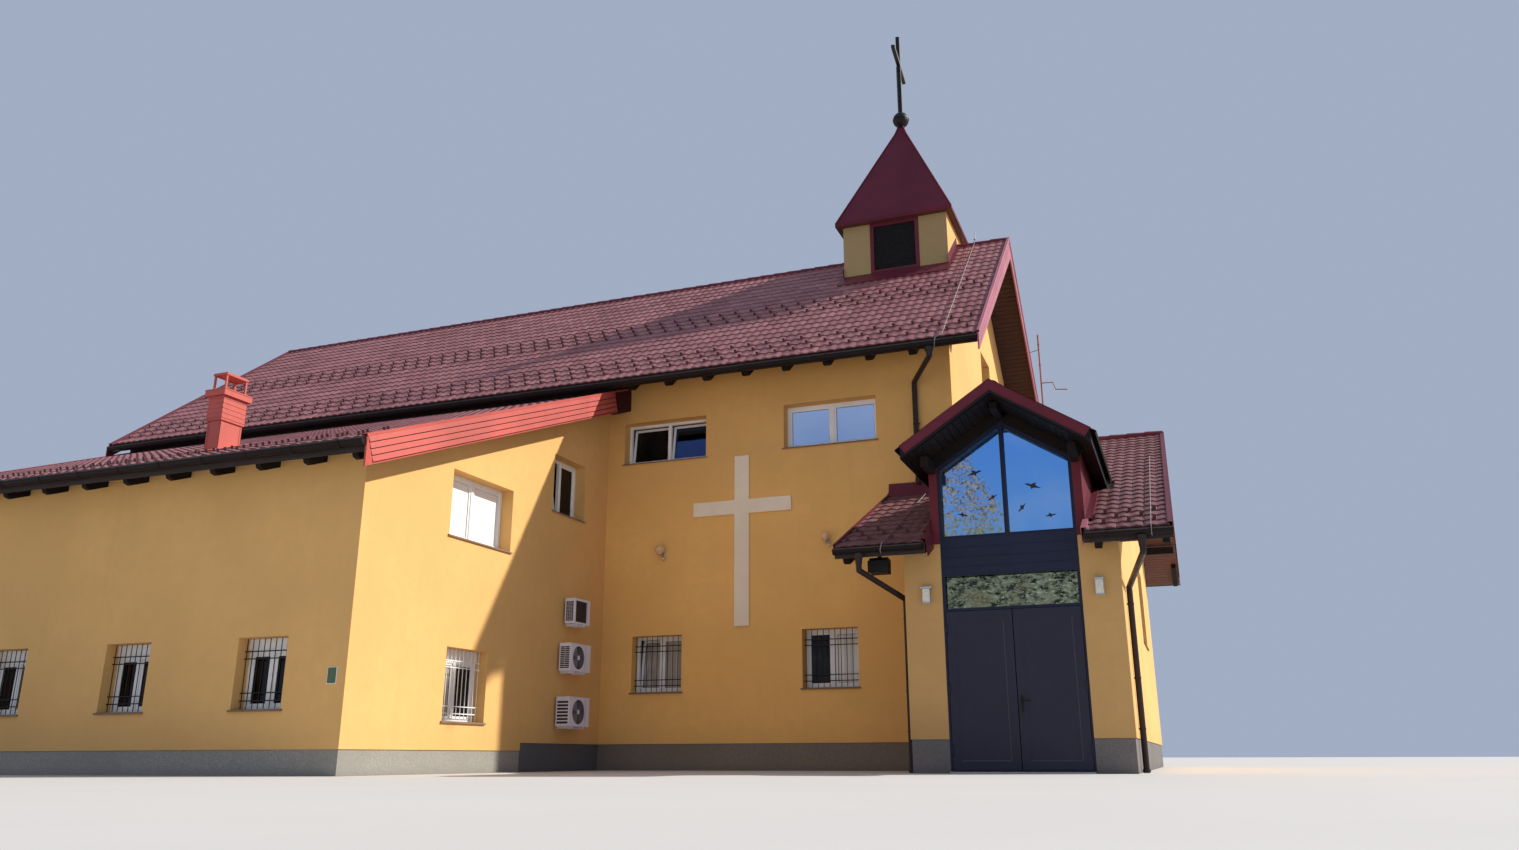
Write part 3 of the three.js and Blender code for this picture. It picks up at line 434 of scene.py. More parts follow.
def hood_sheet(name, sheet, under):
    """Wine sheet on the side walls below the hood, near black boards on the hood itself."""
    paint = Paint(name, Roughness=0.5, Specular_IOR_Level=0.2)
    aside = paint.math("ABSOLUTE", paint.math("SUBTRACT", paint.axis("X"), HOOD["mid"] + ORIGIN.x), 0)
    level = paint.math("ADD", paint.axis("Z"), paint.math("MULTIPLY", aside, HOOD["pitch"]))
    edge = HOOD["apex"] - HOOD["thick"]
    red = paint.vary(paint.noise(0.8, 4), 0.35, 0.65, sheet, 0.88, 1.1)
    tone = paint.mix(paint.span(level, edge - 0.006, edge - 0.001), red, under)
    return paint.done(tone, [(paint.noise(2.2, 2), 0.004)])


def timber(name, dark, light, run="X", specular=0.5):
    """Stained boards; the grain runs along one axis."""
    paint = Paint(name, Specular_IOR_Level=specular)
    stretch = along_axis(run, 1.2, 26.0, 26.0)
    grain = paint.noise(1.6, 6, 0.65, stretch=stretch)
    fine = paint.noise(7.0, 4, 0.6, stretch=stretch)
    tone = paint.mix(paint.span(grain, 0.3, 0.7), dark, light)
    tone = paint.veil(tone, fine, 0.45, 0.7, 0.4, shade(dark, 0.6))
    tone = paint.veil(tone, paint.noise(1.1, 3), 0.4, 0.7, 0.3, shade(light, 1.15))
    return paint.done(tone, [(grain, 0.0015), (fine, 0.0008)], (fine, 0.5, 0.75))


def smooth_coat(name, colour, rough=0.35, dirt=(0.35, 0.32, 0.28), specular=0.5):
    """Moulded plastic or powder coat: even colour, faint dust and a fine orange peel."""
    paint = Paint(name, Specular_IOR_Level=specular)
    tone = paint.vary(paint.noise(1.7, 3), 0.3, 0.7, colour, 0.95, 1.05)
    dust = paint.noise(11.0, 5, 0.65, stretch=(1, 1, 0.4))
    tone = paint.veil(tone, dust, 0.52, 0.8, 0.18, dirt)
    layers = [(paint.noise(420.0, 2), 0.0003), (paint.noise(3.0, 2), 0.001)]
    return paint.done(tone, layers, (dust, rough - 0.05, rough + 0.1))


def bare_metal(name, colour, rough=0.35):
    paint = Paint(name, Metallic=1.0)
    brushed = paint.noise(12.0, 4, 0.6, stretch=(1, 1, 14))
    tone = paint.vary(brushed, 0.3, 0.7, colour, 0.82)
    tone = paint.veil(tone, paint.noise(22.0, 5), 0.5, 0.75, 0.4, shade(colour, 0.55))
    return paint.done(tone, [(brushed, 0.0003)], (brushed, rough - 0.08, rough + 0.15))


def dark_pane(name, colour, haze):
    """A pane painted with the dark of a dim room behind it as painted shade, brighter in soft patches."""
    paint = Paint(name, Roughness=0.06, Specular_IOR_Level=0.25)
    tone = paint.mix(paint.span(paint.noise(1.6, 3, 0.5), 0.42, 0.68), colour, haze)
    return paint.done(tone, [(paint.noise(1.5, 2), 0.0015)])


def sky_pane(name, low, high, z, boughs=False, cloud=0.15):
    """A mirror pane tinted with a painted reflection of the sky and its clouds, with or without a painted
    reflection of boughs over part of it.
    """
    paint = Paint(name, Metallic=1.0, Roughness=0.04)
    tone = paint.mix(paint.span(paint.axis("Z"), *z), low, high)
    tone = paint.veil(tone, paint.noise(1.1, 3), 0.4, 0.7, cloud, (0.75, 0.85, 0.95))
    if boughs:
        tone = painted_bough_reflection(paint, tone)
    return paint.done(tone, [(paint.noise(1.2, 2), 0.001)])


def painted_bough_reflection(paint, tone):
    """A painted reflection of needle boughs across the left pane of the gable glass and the foot of the right
    one.
    """
    x_mid = HOOD["mid"] + ORIGIN.x
    across = paint.span(paint.axis("X"), x_mid - 0.95, x_mid + 0.60, 0.95, -0.40)
    depth = paint.span(paint.axis("Z"), 3.45, 4.85, 0.75, 0.0)
    patch = paint.math("ADD", paint.math("ADD", across, depth), paint.noise(2.6, 4, 0.6))
    strands = paint.noise(5.0, 7, 0.75, stretch=(1.0, 1, 4.2), turn=(0, 0.65, 0))
    droop = paint.noise(7.0, 6, 0.75, stretch=(3.0, 1, 1.0), turn=(0, 0.35, 0))
    needles = paint.math("MAXIMUM", strands, droop)
    cover = paint.math("MULTIPLY", paint.span(patch, 1.10, 1.36), paint.span(needles, 0.50, 0.55))
    leaves = paint.span(paint.noise(26.0, 5, 0.7), 0.38, 0.60)
    leaf = paint.mix(leaves, (0.10, 0.13, 0.14), (0.75, 0.58, 0.38))
    green = paint.span(paint.axis("Z"), 3.5, 4.1, 0.55, 0.0)
    return paint.mix(cover, tone, paint.mix(green, leaf, (0.43, 0.49, 0.17)))


def hedge_reflection_glass(name):
    """A mirror pane tinted with a painted reflection of branching leaves, with dark gaps between."""
    paint = Paint(name, Metallic=1.0, Roughness=0.04)
    grain = paint.noise(7.5, 8, 0.75, stretch=(1.0, 1, 1.8), turn=(0, -0.5, 0))
    leaf = paint.mix(paint.span(grain, 0.40, 0.58), (0.020, 0.026, 0.020), (0.35, 0.37, 0.21))
    twigs = paint.noise(13.0, 7, 0.75, stretch=(1.0, 1, 2.6), turn=(0, 0.7, 0))
    lit = paint.veil(leaf, twigs, 0.54, 0.60, 0.8, (0.75, 0.70, 0.40))
    warm = paint.veil(lit, paint.noise(3.0, 3), 0.5, 0.66, 0.5, (0.34, 0.27, 0.13))
    gaps = paint.span(paint.noise(9.0, 6, 0.75), 0.36, 0.47, 0.35, 1.0)
    return paint.done(paint.mix(gaps, (0.045, 0.050, 0.036), warm), [(paint.noise(1.2, 2), 0.001)])


def cloth(name, colour, dip=0.62, fold_deep=0.01):
    """A hanging curtain behind glass: soft upright folds."""
    paint = Paint(name, Roughness=0.5, Coat_Weight=0.6, Coat_Roughness=0.05)
    fold = paint.noise(5.0, 3, 0.5, stretch=(3.5, 3.5, 0.05))
    return paint.done(paint.vary(fold, 0.35, 0.65, colour, dip), [(fold, fold_deep)])


def opal(name, colour):
    paint = Paint(name, Roughness=0.18, Subsurface_Weight=0.15)
    tone = paint.vary(paint.noise(14.0, 3), 0.35, 0.65, colour, 0.86)
    return paint.done(tone, [(paint.noise(90.0, 2), 0.0004)])


OCHRE = (0.80, 0.465, 0.165)
WINE = (0.135, 0.020, 0.033)
NEAR_BLACK = (0.008, 0.007, 0.007)
UNSHADED_EAST_GAIN = (2.0, 1.63, 1.22)
HALL_PAINTED_BOUNCE_LIGHT = (1.15, 1.15, 1.08)
SHADED_PLINTH_Y = -2.77
STAIN_AND_PAINTED_SHADE = (0.36, 0.38, 0.46)
UPPER_GLASS_Z = (6.0, 7.0)
wall_finish = plaster("ochre_plaster", OCHRE)
# The hall front is lightened below its upper windows as painted bounce light
hall_wall_finish = plaster("hall_plaster", (0.80, 0.455, 0.148), low=HALL_PAINTED_BOUNCE_LIGHT)
# The entrance walls take a darker plaster as painted shade
entry_wall_shaded_finish = plaster("entrance_plaster", (0.64, 0.375, 0.140))
# The turret plaster is darker as painted shade; past its east edge the gain brings it back to the walls'
# ochre
turret_shaded_wall_finish = plaster("turret_plaster", (0.40, 0.285, 0.135), east=(TURRET_X[1], UNSHADED_EAST_GAIN))
cream_finish = plaster("cream_plaster", (0.94, 0.80, 0.60))
hall_base_finish = pebbledash("plinth_dash", (0.26, 0.215, 0.165))
entry_base_finish = pebbledash("entrance_dash", (0.200, 0.180, 0.170))
# The wing plinth is paler as painted sunlight, and past the plinth step darker, partly stain and partly
# painted shade
wing_base_sun_and_shade_finish = pebbledash("wing_dash", (0.355, 0.335, 0.293), north=(SHADED_PLINTH_Y, STAIN_AND_PAINTED_SHADE))
concrete_finish = pebbledash("floor_concrete", (0.36, 0.34, 0.31))
sill_finish = pebbledash("sill_stone", (0.30, 0.19, 0.12))
tile_finish = clay("roof_tile", (0.235, 0.083, 0.088), (0.370, 0.150, 0.155))
# The entrance tiles are a darker copy of the roof tiles as painted shade
entry_tile_shaded_finish = clay("entrance_tile", (0.146, 0.051, 0.055), (0.229, 0.093, 0.096))
red_finish = sheet_metal("wine_sheet", WINE, 0.45, 0.03, 0.2)
spire_finish = sheet_metal("spire_sheet", (0.12, 0.014, 0.030), 0.55, 0.02, 0.2)
# A darker wine as painted shade, for the wing verge's upper end and the shadow lines under its boards
wine_shade_finish = sheet_metal("deep_wine_sheet", (0.050, 0.010, 0.013), 0.6, 0.02, 0.1)
cross_sunlit_strip_finish = sheet_metal("cross_strip", (0.17, 0.17, 0.155), 0.55, 0.02, 0.2)
# These three are the wine sheet made paler for faces in the sun: painted sunlight and sheen
rose_sheen_finish = sheet_metal("faded_rose_sheet", (0.40, 0.13, 0.17), 0.5)
chimney_sunlit_finish = sheet_metal("faded_red_sheet", (0.50, 0.10, 0.075), 0.5, 0.05)
verge_sunlit_finish = sheet_metal("verge_red_sheet", (0.50, 0.083, 0.062), 0.5, 0.05)
mast_finish = sheet_metal("mast_paint", (0.30, 0.10, 0.07), 0.5)
gutter_finish = sheet_metal("dark_sheet", (0.016, 0.011, 0.011), 0.45, 0.02, 0.12)
# The gutter's rolled edge is paler than the gutter as painted highlight
bead_highlight_finish = sheet_metal("gutter_bead", (0.050, 0.036, 0.036), 0.35, 0.05)
pipe_finish = sheet_metal("pipe_sheet", (0.030, 0.019, 0.019), 0.42, 0.03, 0.25)
hood_finish = hood_sheet("hood_sheet", (0.16, 0.022, 0.032), NEAR_BLACK)
board_finish = timber("dark_boards", (0.016, 0.009, 0.008), (0.040, 0.021, 0.018))
soffit_finish = timber("red_boards", (0.030, 0.012, 0.010), (0.065, 0.026, 0.021))
brown_finish = timber("brown_boards", (0.08, 0.024, 0.014), (0.15, 0.046, 0.027))
beam_finish = timber("dark_beams", (0.009, 0.007, 0.007), (0.022, 0.015, 0.014), "Y", 0.1)
steel_finish = bare_metal("plain_steel", (0.62, 0.60, 0.57))
wire_finish = bare_metal("dull_wire", (0.40, 0.38, 0.36), 0.45)
door_finish = smooth_coat("anthracite_coat", (0.025, 0.025, 0.046), 0.5, (0.04, 0.04, 0.045), 0.3)
panel_finish = smooth_coat("panel_coat", (0.012, 0.017, 0.044), 0.5, (0.03, 0.035, 0.05), 0.3)
# A paler coat for the bevel strips on one side of each field: painted highlight
door_light_finish = smooth_coat("door_bead", (0.05, 0.055, 0.075), 0.4, (0.05, 0.05, 0.055), 0.3)
frame_finish = smooth_coat("window_white", (0.92, 0.91, 0.89), 0.3)
cooler_finish = smooth_coat("cooler_case", (0.82, 0.79, 0.87), 0.38)
fan_dark_finish = smooth_coat("fan_well", (0.035, 0.035, 0.042), 0.4, (0.05, 0.05, 0.06))
fan_mid_finish = smooth_coat("fan_blade", (0.11, 0.12, 0.14), 0.4, (0.10, 0.10, 0.12))
fan_lit_blade_finish = smooth_coat("fan_blade_pale", (0.30, 0.31, 0.36), 0.4, (0.25, 0.25, 0.28))
ring_finish = smooth_coat("grille_ring", (0.20, 0.19, 0.22), 0.45, (0.15, 0.15, 0.16))
slot_shade_finish = smooth_coat("case_slot", (0.030, 0.022, 0.024), 0.6, (0.04, 0.03, 0.03))
iron_finish = smooth_coat("dark_iron", (0.012, 0.011, 0.012), 0.5, (0.04, 0.035, 0.03), 0.25)
cleat_finish = smooth_coat("maroon_cleats", (0.085, 0.026, 0.030), 0.5, (0.10, 0.06, 0.06))
slat_finish = smooth_coat("slate_slats", (0.030, 0.028, 0.033), 0.6, (0.05, 0.045, 0.045))
globe_finish = smooth_coat("amber_globe", (0.74, 0.50, 0.25), 0.08, (0.50, 0.36, 0.20))
plaque_finish = smooth_coat("plaque_green", (0.07, 0.13, 0.065), 0.3)
seal_finish = smooth_coat("seal_rubber", (0.015, 0.015, 0.016), 0.6)
glare_seal_finish = smooth_coat("white_seal", (0.55, 0.55, 0.56), 0.6)
room_shade_finish = smooth_coat("room_dark", (0.02, 0.02, 0.022), 0.8)
black_pane = dark_pane("dark_glass", (0.0015, 0.0015, 0.0015), (0.010, 0.010, 0.010))
blind_pane = dark_pane("blind_glass", (0.013, 0.012, 0.012), (0.040, 0.038, 0.036))
# These mirror panes are tinted as painted reflections of the sky
blue_sky_reflection_pane = sky_pane("blue_glass", (0.030, 0.055, 0.15), (0.040, 0.070, 0.19), UPPER_GLASS_Z, cloud=0.01)
pale_sky_reflection_pane = sky_pane("pale_glass", (0.42, 0.56, 0.82), (0.55, 0.68, 0.92), UPPER_GLASS_Z)
gable_sky_reflection_pane = sky_pane("gable_sky", (0.22, 0.52, 1.0), (0.16, 0.45, 1.0), (3.5, 5.2), boughs=True)
hedge_reflection_pane = hedge_reflection_glass("transom_hedge")
curtain = cloth("grey_curtain", (0.50, 0.47, 0.42))
pale_curtain = cloth("pale_curtain", (0.90, 0.88, 0.78))
# The flat white blind, with no folds, also stands for the sun's glare on the glass: painted glare
white_blind = cloth("white_blind", (0.95, 0.94, 0.92), 0.96, 0.0004)
lamp_glass = opal("lamp_glass", (0.85, 0.80, 0.66))

NODE_FINISHES = {
    "render": wall_finish,
    "plinth": hall_base_finish,
    "concrete": concrete_finish,
    "tile": board_finish,
    "red_sheet": red_finish,
    "dark_sheet": gutter_finish,
    "anthracite": door_finish,
    "glass": black_pane,
    "white_frame": frame_finish,
    "cream": cream_finish,
    "cooler_case": cooler_finish,
}
OWN_FINISHES = {
    "hall_front_wall": hall_wall_finish,
    "entrance_left_wall": entry_wall_shaded_finish,
    "entrance_right_wall": entry_wall_shaded_finish,
    "turret_walls": turret_shaded_wall_finish,
    "wing_base": wing_base_sun_and_shade_finish,
    "entrance_base": entry_base_finish,
    "turret_roof": spire_finish,
    "turret_cross": iron_finish,
    "hall_verge_east": rose_sheen_finish,
    "wing_verge": verge_sunlit_finish,
    "chimney": chimney_sunlit_finish,
    "portal_hood": hood_finish,
    "portal_frame": panel_finish,
    "door_handle": iron_finish,
    "gable_glass": gable_sky_reflection_pane,
    "transom_glass": hedge_reflection_pane,
    "hall_downpipe": pipe_finish,
    "entrance_downpipe_left": pipe_finish,
    "entrance_downpipe_right": pipe_finish,
}
for name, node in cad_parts.items():
    for holder in node.material_slots:
        plain_name = holder.material.name.split(".")[0]
        holder.material = OWN_FINISHES.get(name, NODE_FINISHES[plain_name])


# Tiles

def course_stations(start, end, shift):
    """Places along a course with the height of the wave there, down in a groove at each tile joint."""
    waves = [COVER * k / WAVE_SAMPLES for k in range(1, WAVE_SAMPLES)]
    offsets = [0.0, JOINT_HALF, *waves, COVER - JOINT_HALF]
    places = [start, end]
    for tile in range(math.floor((start - shift) / COVER), math.ceil((end - shift) / COVER) + 1):
        places += [shift + tile * COVER + offset for offset in offsets]
    stations = []
    for place in sorted(place for place in places if start <= place <= end):
        if stations and place - stations[-1][0] < 0.002:
            continue
        within = (place - shift) % COVER
        height = WAVE_RISE * (0.5 - 0.5 * math.cos(2 * math.pi * WAVES_A_TILE * within / COVER))
        if min(within, COVER - within) < JOINT_HALF / 2:
            height -= JOINT_DEPTH
        stations.append((place, height))
    return stations


def tiled(name, slope, length, spans, seed, finish=tile_finish):
    """Courses of waved tiles up a slope; spans(up) gives the stretches that a course covers."""
    dice = random.Random(seed)
    shape = Shape()
    for course in range(math.ceil((length - TILE_START) / COURSE)):
        low = TILE_START + course * COURSE
        high = min(low + COURSE + TILE_LAP, length - 0.01)
        if high - low < 0.08:
            continue
        shift = COVER / 2 * (course % 2)
        tones = {}
        for start, end in spans(low + COURSE / 2):
            if end - start < 0.05:
                continue
            stations = course_stations(start, end, shift)
            points, faces, face_tones = [], [(0, 1, 2)], [0.5]
            for place, height in stations:
                points.append(slope.point(place, low, TILE_FRONT - TILE_THICK + height * 0.6))
                points.append(slope.point(place, low, TILE_FRONT + height))
                points.append(slope.point(place, high, TILE_BACK + height * 0.6))
            for i, (here, there) in enumerate(zip(stations, stations[1:])):
                a, b = 3 * i, 3 * i + 3
                faces += [(a, b, b + 1, a + 1), (a + 1, b + 1, b + 2, a + 2), (a + 2, b + 2, b, a)]
                tile = math.floor(((here[0] + there[0]) / 2 - shift) / COVER)
                if tile not in tones:
                    tones[tile] = min(max(dice.gauss(0.5, 0.24), 0), 1)
                face_tones += [tones[tile]] * 3
            last = len(points) - 1
            faces.append((last, last - 1, last - 2))
            shape.add(points, faces, 0, [*face_tones, 0.5])
    shape.make(name, [finish], recalc=False)


TURRET_CLEAR = 0.015
VALLEY_CLEAR = 0.11
HOOD_SHEET = 0.16
HALL_LENGTH = hall_front.up_at(RIDGE_Y)
WING_LENGTH = wing_slope.up_at(0)
ENTRY_LENGTH = entry_front.up_at(RIDGE_Y)
ENTRY_LEFT_LENGTH = entry_front.up_at(0)
ENTRY_BACK_LENGTH = entry_back.up_at(RIDGE_Y)
HOOD_LENGTH = HOOD["half"] / hood_left.cos
turret_up = (hall_front.up_at(TURRET_Y[0]), hall_back.up_at(TURRET_Y[1]))


def hall_front_spans(up):
    low, high = HALL["x"][0] + 0.02, HALL["x"][1] - 0.045
    if up < turret_up[0]:
        return [(low, high)]
    return [(low, TURRET_X[0] - TURRET_CLEAR), (TURRET_X[1] + TURRET_CLEAR, high)]


def hall_back_spans(up):
    low, high = -HALL["x"][1] + 0.03, -HALL["x"][0] - 0.02
    if up < turret_up[1]:
        return [(low, high)]
    return [(low, -TURRET_X[1] - TURRET_CLEAR), (-TURRET_X[0] + TURRET_CLEAR, high)]


def entry_front_spans(up):
    """Left and right of the portal hood below, and round its valleys above."""
    y = ENTRY["eave"] + up * entry_front.cos
    left = HALL_EAST_X + 0.03 if y > 0 else ENTRY["x"][0] + 0.02
    right = ENTRY["x"][1] - 0.03
    if entry_top(y) < hood_top(hood_x[0]) - HOOD["thick"]:
        return [(left, NOTCH_X[0] - 0.02), (NOTCH_X[1] + 0.02, right)]
    reach = min((HOOD["apex"] - entry_top(y)) / HOOD["pitch"], HOOD["half"])
    if reach < 0:
        return [(left, right)]
    return [(left, HOOD["mid"] - reach - VALLEY_CLEAR), (HOOD["mid"] + reach + VALLEY_CLEAR, right)]


def valley_y(up):
    """Where the hood's slope meets the tiled slope behind it."""
    return RIDGE_Y - (ENTRY["ridge"] - hood_top(hood_x[0] + up * hood_left.cos)) / ENTRY["pitch"]


tiled("hall_tiles_front", hall_front, HALL_LENGTH, hall_front_spans, 11)
tiled("hall_tiles_back", hall_back, HALL_LENGTH, hall_back_spans, 12)
tiled("wing_tiles", wing_slope, WING_LENGTH - 0.02,
      lambda up: [(WING["x"][0] + 0.02, WING["x"][1] - 0.03)], 13)
tiled("entrance_tiles_front", entry_front, ENTRY_LENGTH, entry_front_spans, 14, entry_tile_shaded_finish)
tiled("entrance_tiles_back", entry_back, ENTRY_BACK_LENGTH,
      lambda up: [(-ENTRY["x"][1] + 0.03, -HALL_EAST_X - 0.03)], 15, entry_tile_shaded_finish)
tiled("hood_tiles_left", hood_left, HOOD_LENGTH,
      lambda up: [(-valley_y(up) + 0.08, -HOOD["y"][0] - HOOD_SHEET)], 16, entry_tile_shaded_finish)
tiled("hood_tiles_right", hood_right, HOOD_LENGTH,
      lambda up: [(HOOD["y"][0] + HOOD_SHEET, valley_y(up) - 0.08)], 17, entry_tile_shaded_finish)

CAP_PITCH = 0.36
CAP_LAP = 0.05
CAP_RADIUS = 0.115
CAP_FLARE = 0.016
CAP_THICK = 0.014
CAP_SINK = 0.035
CAP_TURNS = [math.radians(-12 + 204 * k / 9) for k in range(10)]


def ridge_caps(shape, start, way, length):
    """Overlapping half-round caps along a ridge."""
    start, way = Vector(start), Vector(way)
    up = Vector((0, 0, 1))
    across = way.cross(up)
    pitch = length / round(length / CAP_PITCH)
    for i in range(round(length / CAP_PITCH)):
        rings = []
        for share, radius in ((0, CAP_RADIUS + CAP_FLARE), (1, CAP_RADIUS)):
            centre = start + way * min(i * pitch + share * (pitch + CAP_LAP), length) - up * CAP_SINK
            outer = [centre + (across * math.cos(t) + up * math.sin(t)) * radius for t in CAP_TURNS]
            inner = [centre + (point - centre) * (1 - CAP_THICK / radius) for point in reversed(outer)]
            rings.append(outer + inner)
        shape.loft(rings)


caps = Shape()
hall_ridge_z = HALL["ridge"] - 0.025
for start, end in ((HALL["x"][0], TURRET_X[0] - 0.01), (TURRET_X[1] + 0.01, HALL["x"][1])):
    ridge_caps(caps, (start, RIDGE_Y, hall_ridge_z), (1, 0, 0), end - start)
start = HALL_EAST_X + 0.01
ridge_caps(caps, (start, RIDGE_Y, ENTRY["ridge"] + 0.01), (1, 0, 0), ENTRY["x"][1] - start)
start = HOOD["y"][0] + HOOD_SHEET + 0.05
ridge_caps(caps, (HOOD["mid"], start, HOOD["apex"] - 0.036), (0, 1, 0), HOOD["y"][1] - 0.10 - start)
caps.make("ridge_caps", [red_finish])

# Snow guards: hooks on three neighbouring courses, staggered by half a tile
GUARD_WIDE = 0.05
GUARD_HIGH = 0.048
guards = Shape()


def snow_guards(slope, first_course, places):
    """Straps on the tiles, each with an upright plate at its foot; places(row) gives where they sit."""
    for row in range(3):
        up = TILE_START + (first_course + row) * COURSE - 0.03
        for place in places(row):
            across = (place - GUARD_WIDE / 2, place + GUARD_WIDE / 2)
            slope.slab(guards, across, (up - 0.005, up + 0.10), (0.046, 0.050))
            slope.slab(guards, across, (up - 0.014, up - 0.005), (0.040, 0.050 + GUARD_HIGH))


def guard_row(low, high):
    """Places one tile apart from low to high, shifted by half a tile on every other course."""
    def places(row):
        start = low + COVER / 2 * (row % 2)
        return [start + COVER * i for i in range(math.ceil((high - start) / COVER))]
    return places


ENTRY_GUARDS = ((6.075, 6.425, 6.79, 9.95, 10.30, 10.65), (6.24, 6.60, 6.97, 9.80, 10.12, 10.47))
for first_course in (1, 9):
    snow_guards(hall_front, first_course, guard_row(HALL["x"][0] + 0.3, HALL["x"][1] - 0.15))
snow_guards(entry_front, 1, lambda row: ENTRY_GUARDS[row % 2])
snow_guards(wing_slope, 1, guard_row(WING["x"][0] + 0.3, WING["x"][1] - 0.1))
guards.make("snow_guards", [cleat_finish])


# Woodwork under the eaves

PLANK = 0.118
PLANK_GAP = 0.005
PLANK_THICK = 0.018
EASED = 0.006


def planks(shape, slope, along, up, finish=0):
    """Boards under a deck, each with its lower edges eased."""
    top = -slope.under - 0.0005
    foot = top - PLANK_THICK
    place = up[0]
    while place < up[1] - 0.02:
        end = min(place + PLANK - PLANK_GAP, up[1])
        outline = [(place, top), (end, top), (end, foot + EASED), (end - EASED, foot),
                   (place + EASED, foot), (place, foot + EASED)]
        slope.carry(shape, along, outline, finish)
        place += PLANK


hall_left, hall_right = HALL["x"]
wing_left, wing_right = WING["x"]
entry_left, entry_right = ENTRY["x"]
side_left, side_right = ENTRY_WALL_X
eave_up = hall_front.up_at(0)
wing_eave_up = wing_slope.up_at(WING_FRONT_Y)
entry_eave_up = entry_front.up_at(ENTRY_FRONT_Y)
entry_back_up = 0.9 / entry_back.cos
boards = Shape()
for slope, along, up, finish in (
    (hall_front, (0.48, HALL_EAST_X), (0.02, eave_up - 0.01), 0),
    (hall_front, (HALL_EAST_X + 0.01, hall_right - 0.005), (0.02, HALL_LENGTH - 0.02), 1),
    (hall_back, (-HALL_EAST_X, -hall_left - 0.7), (0.02, eave_up - 0.01), 0),
    (hall_back, (-hall_right + 0.005, -HALL_EAST_X - 0.01), (0.02, HALL_LENGTH - 0.02), 1),
    (hall_front, (hall_left + 0.005, HALL_WEST_X - 0.01), (0.02, HALL_LENGTH - 0.02), 0),
    (hall_back, (-HALL_WEST_X + 0.01, -hall_left - 0.005), (0.02, HALL_LENGTH - 0.02), 0),
    (wing_slope, (wing_left + 0.005, wing_right - 0.005), (0.02, wing_eave_up - 0.01), 0),
    (wing_slope, (0.005, wing_right - 0.005), (wing_eave_up + 0.02, WING_LENGTH - 0.03), 0),
    (entry_front, (entry_left + 0.005, NOTCH_X[0] - 0.005), (0.02, entry_eave_up - 0.01), 0),
    (entry_front, (entry_left + 0.005, side_left - 0.005), (entry_eave_up, ENTRY_LEFT_LENGTH - 0.01), 0),
    (entry_front, (NOTCH_X[1] + 0.005, entry_right - 0.005), (0.02, entry_eave_up - 0.01), 0),
):
    planks(boards, slope, along, up, finish)
boards.box((wing_left + 0.01, 0.43), (-0.62, -0.60), (7.42, 7.64))
boards.make("eave_boards", [board_finish, soffit_finish])

side_boards = Shape()
for slope, along, up in (
    (entry_front, (side_right + 0.005, entry_right - 0.005), (entry_eave_up + 0.02, ENTRY_LENGTH - 0.02)),
    (entry_back, (-entry_right + 0.005, -side_right - 0.005), (0.02, 5.8)),
    (entry_back, (-side_right + 0.005, -HALL_EAST_X - 0.01), (0.02, entry_back_up - 0.01)),
):
    planks(side_boards, slope, along, up)
side_boards.make("entrance_side_boards", [brown_finish])

HALL_RAFTER_PITCH = 0.8375
rafters = Shape()


def rafter_ends(slope, start, pitch, count, up, wide, deep):
    """Rafter ends whose tips are cut back towards the wall."""
    top = -slope.under - PLANK_THICK - 0.001
    foot = top - deep
    low, high = up
    outline = [(low, top), (high, top), (high, foot), (low + 0.07, foot), (low, foot + 0.05)]
    for i in range(count):
        along = start + pitch * i
        slope.carry(rafters, (along - wide / 2, along + wide / 2), outline)


for slope, start, pitch, count, up, wide, deep in (
    (hall_front, 0.80, HALL_RAFTER_PITCH, 8, (0.09, eave_up - 0.02), 0.14, 0.17),
    (hall_back, -7.0, HALL_RAFTER_PITCH, 24, (0.09, eave_up - 0.02), 0.14, 0.17),
    (wing_slope, wing_left + 0.75, 0.88, 15, (0.07, wing_eave_up - 0.02), 0.1, 0.11),
    (entry_front, 6.07, 0, 1, (0.05, entry_eave_up - 0.02), 0.1, 0.12),
    (entry_front, 9.85, 0.93, 2, (0.05, entry_eave_up - 0.02), 0.1, 0.12),
    (entry_back, -10.78, 1.1, 4, (0.05, entry_back_up - 0.03), 0.1, 0.12),
):
    rafter_ends(slope, start, pitch, count, up, wide, deep)
rafters.make("rafter_ends", [beam_finish], bevel=0.004)

# Purlin ends carry the verges; each stands out of its gable wall
purlins = Shape()


def purlin(x, y, half, top, deep):
    purlins.box(x, (y - half, y + half), (top - deep, top))


for y in (0.45, RIDGE_Y, 8.29):
    top = hall_top(y) - HALL["thick"] - (0.12 if y != RIDGE_Y else 0.05)
    purlin((HALL_EAST_X, hall_right - 0.06), y, 0.07, top, 0.18)
    purlin((-13.14, HALL_WEST_X), y, 0.07, top, 0.18)
for y in (-2.6, 0.9, RIDGE_Y, 7.9):
    top = entry_top(y) - ENTRY["thick"] - (0.08 if y != RIDGE_Y else 0.05)
    purlin((ENTRY_WALL_X[1], entry_right - 0.06), y, 0.06, top, 0.16)
for y in (-6.9, -3.6, -0.5):
    purlin((0.0, wing_right - 0.05), y, 0.05, wing_top(y) - WING["thick"] - 0.05, 0.13)
purlins.make("purlin_ends", [beam_finish], bevel=0.004)

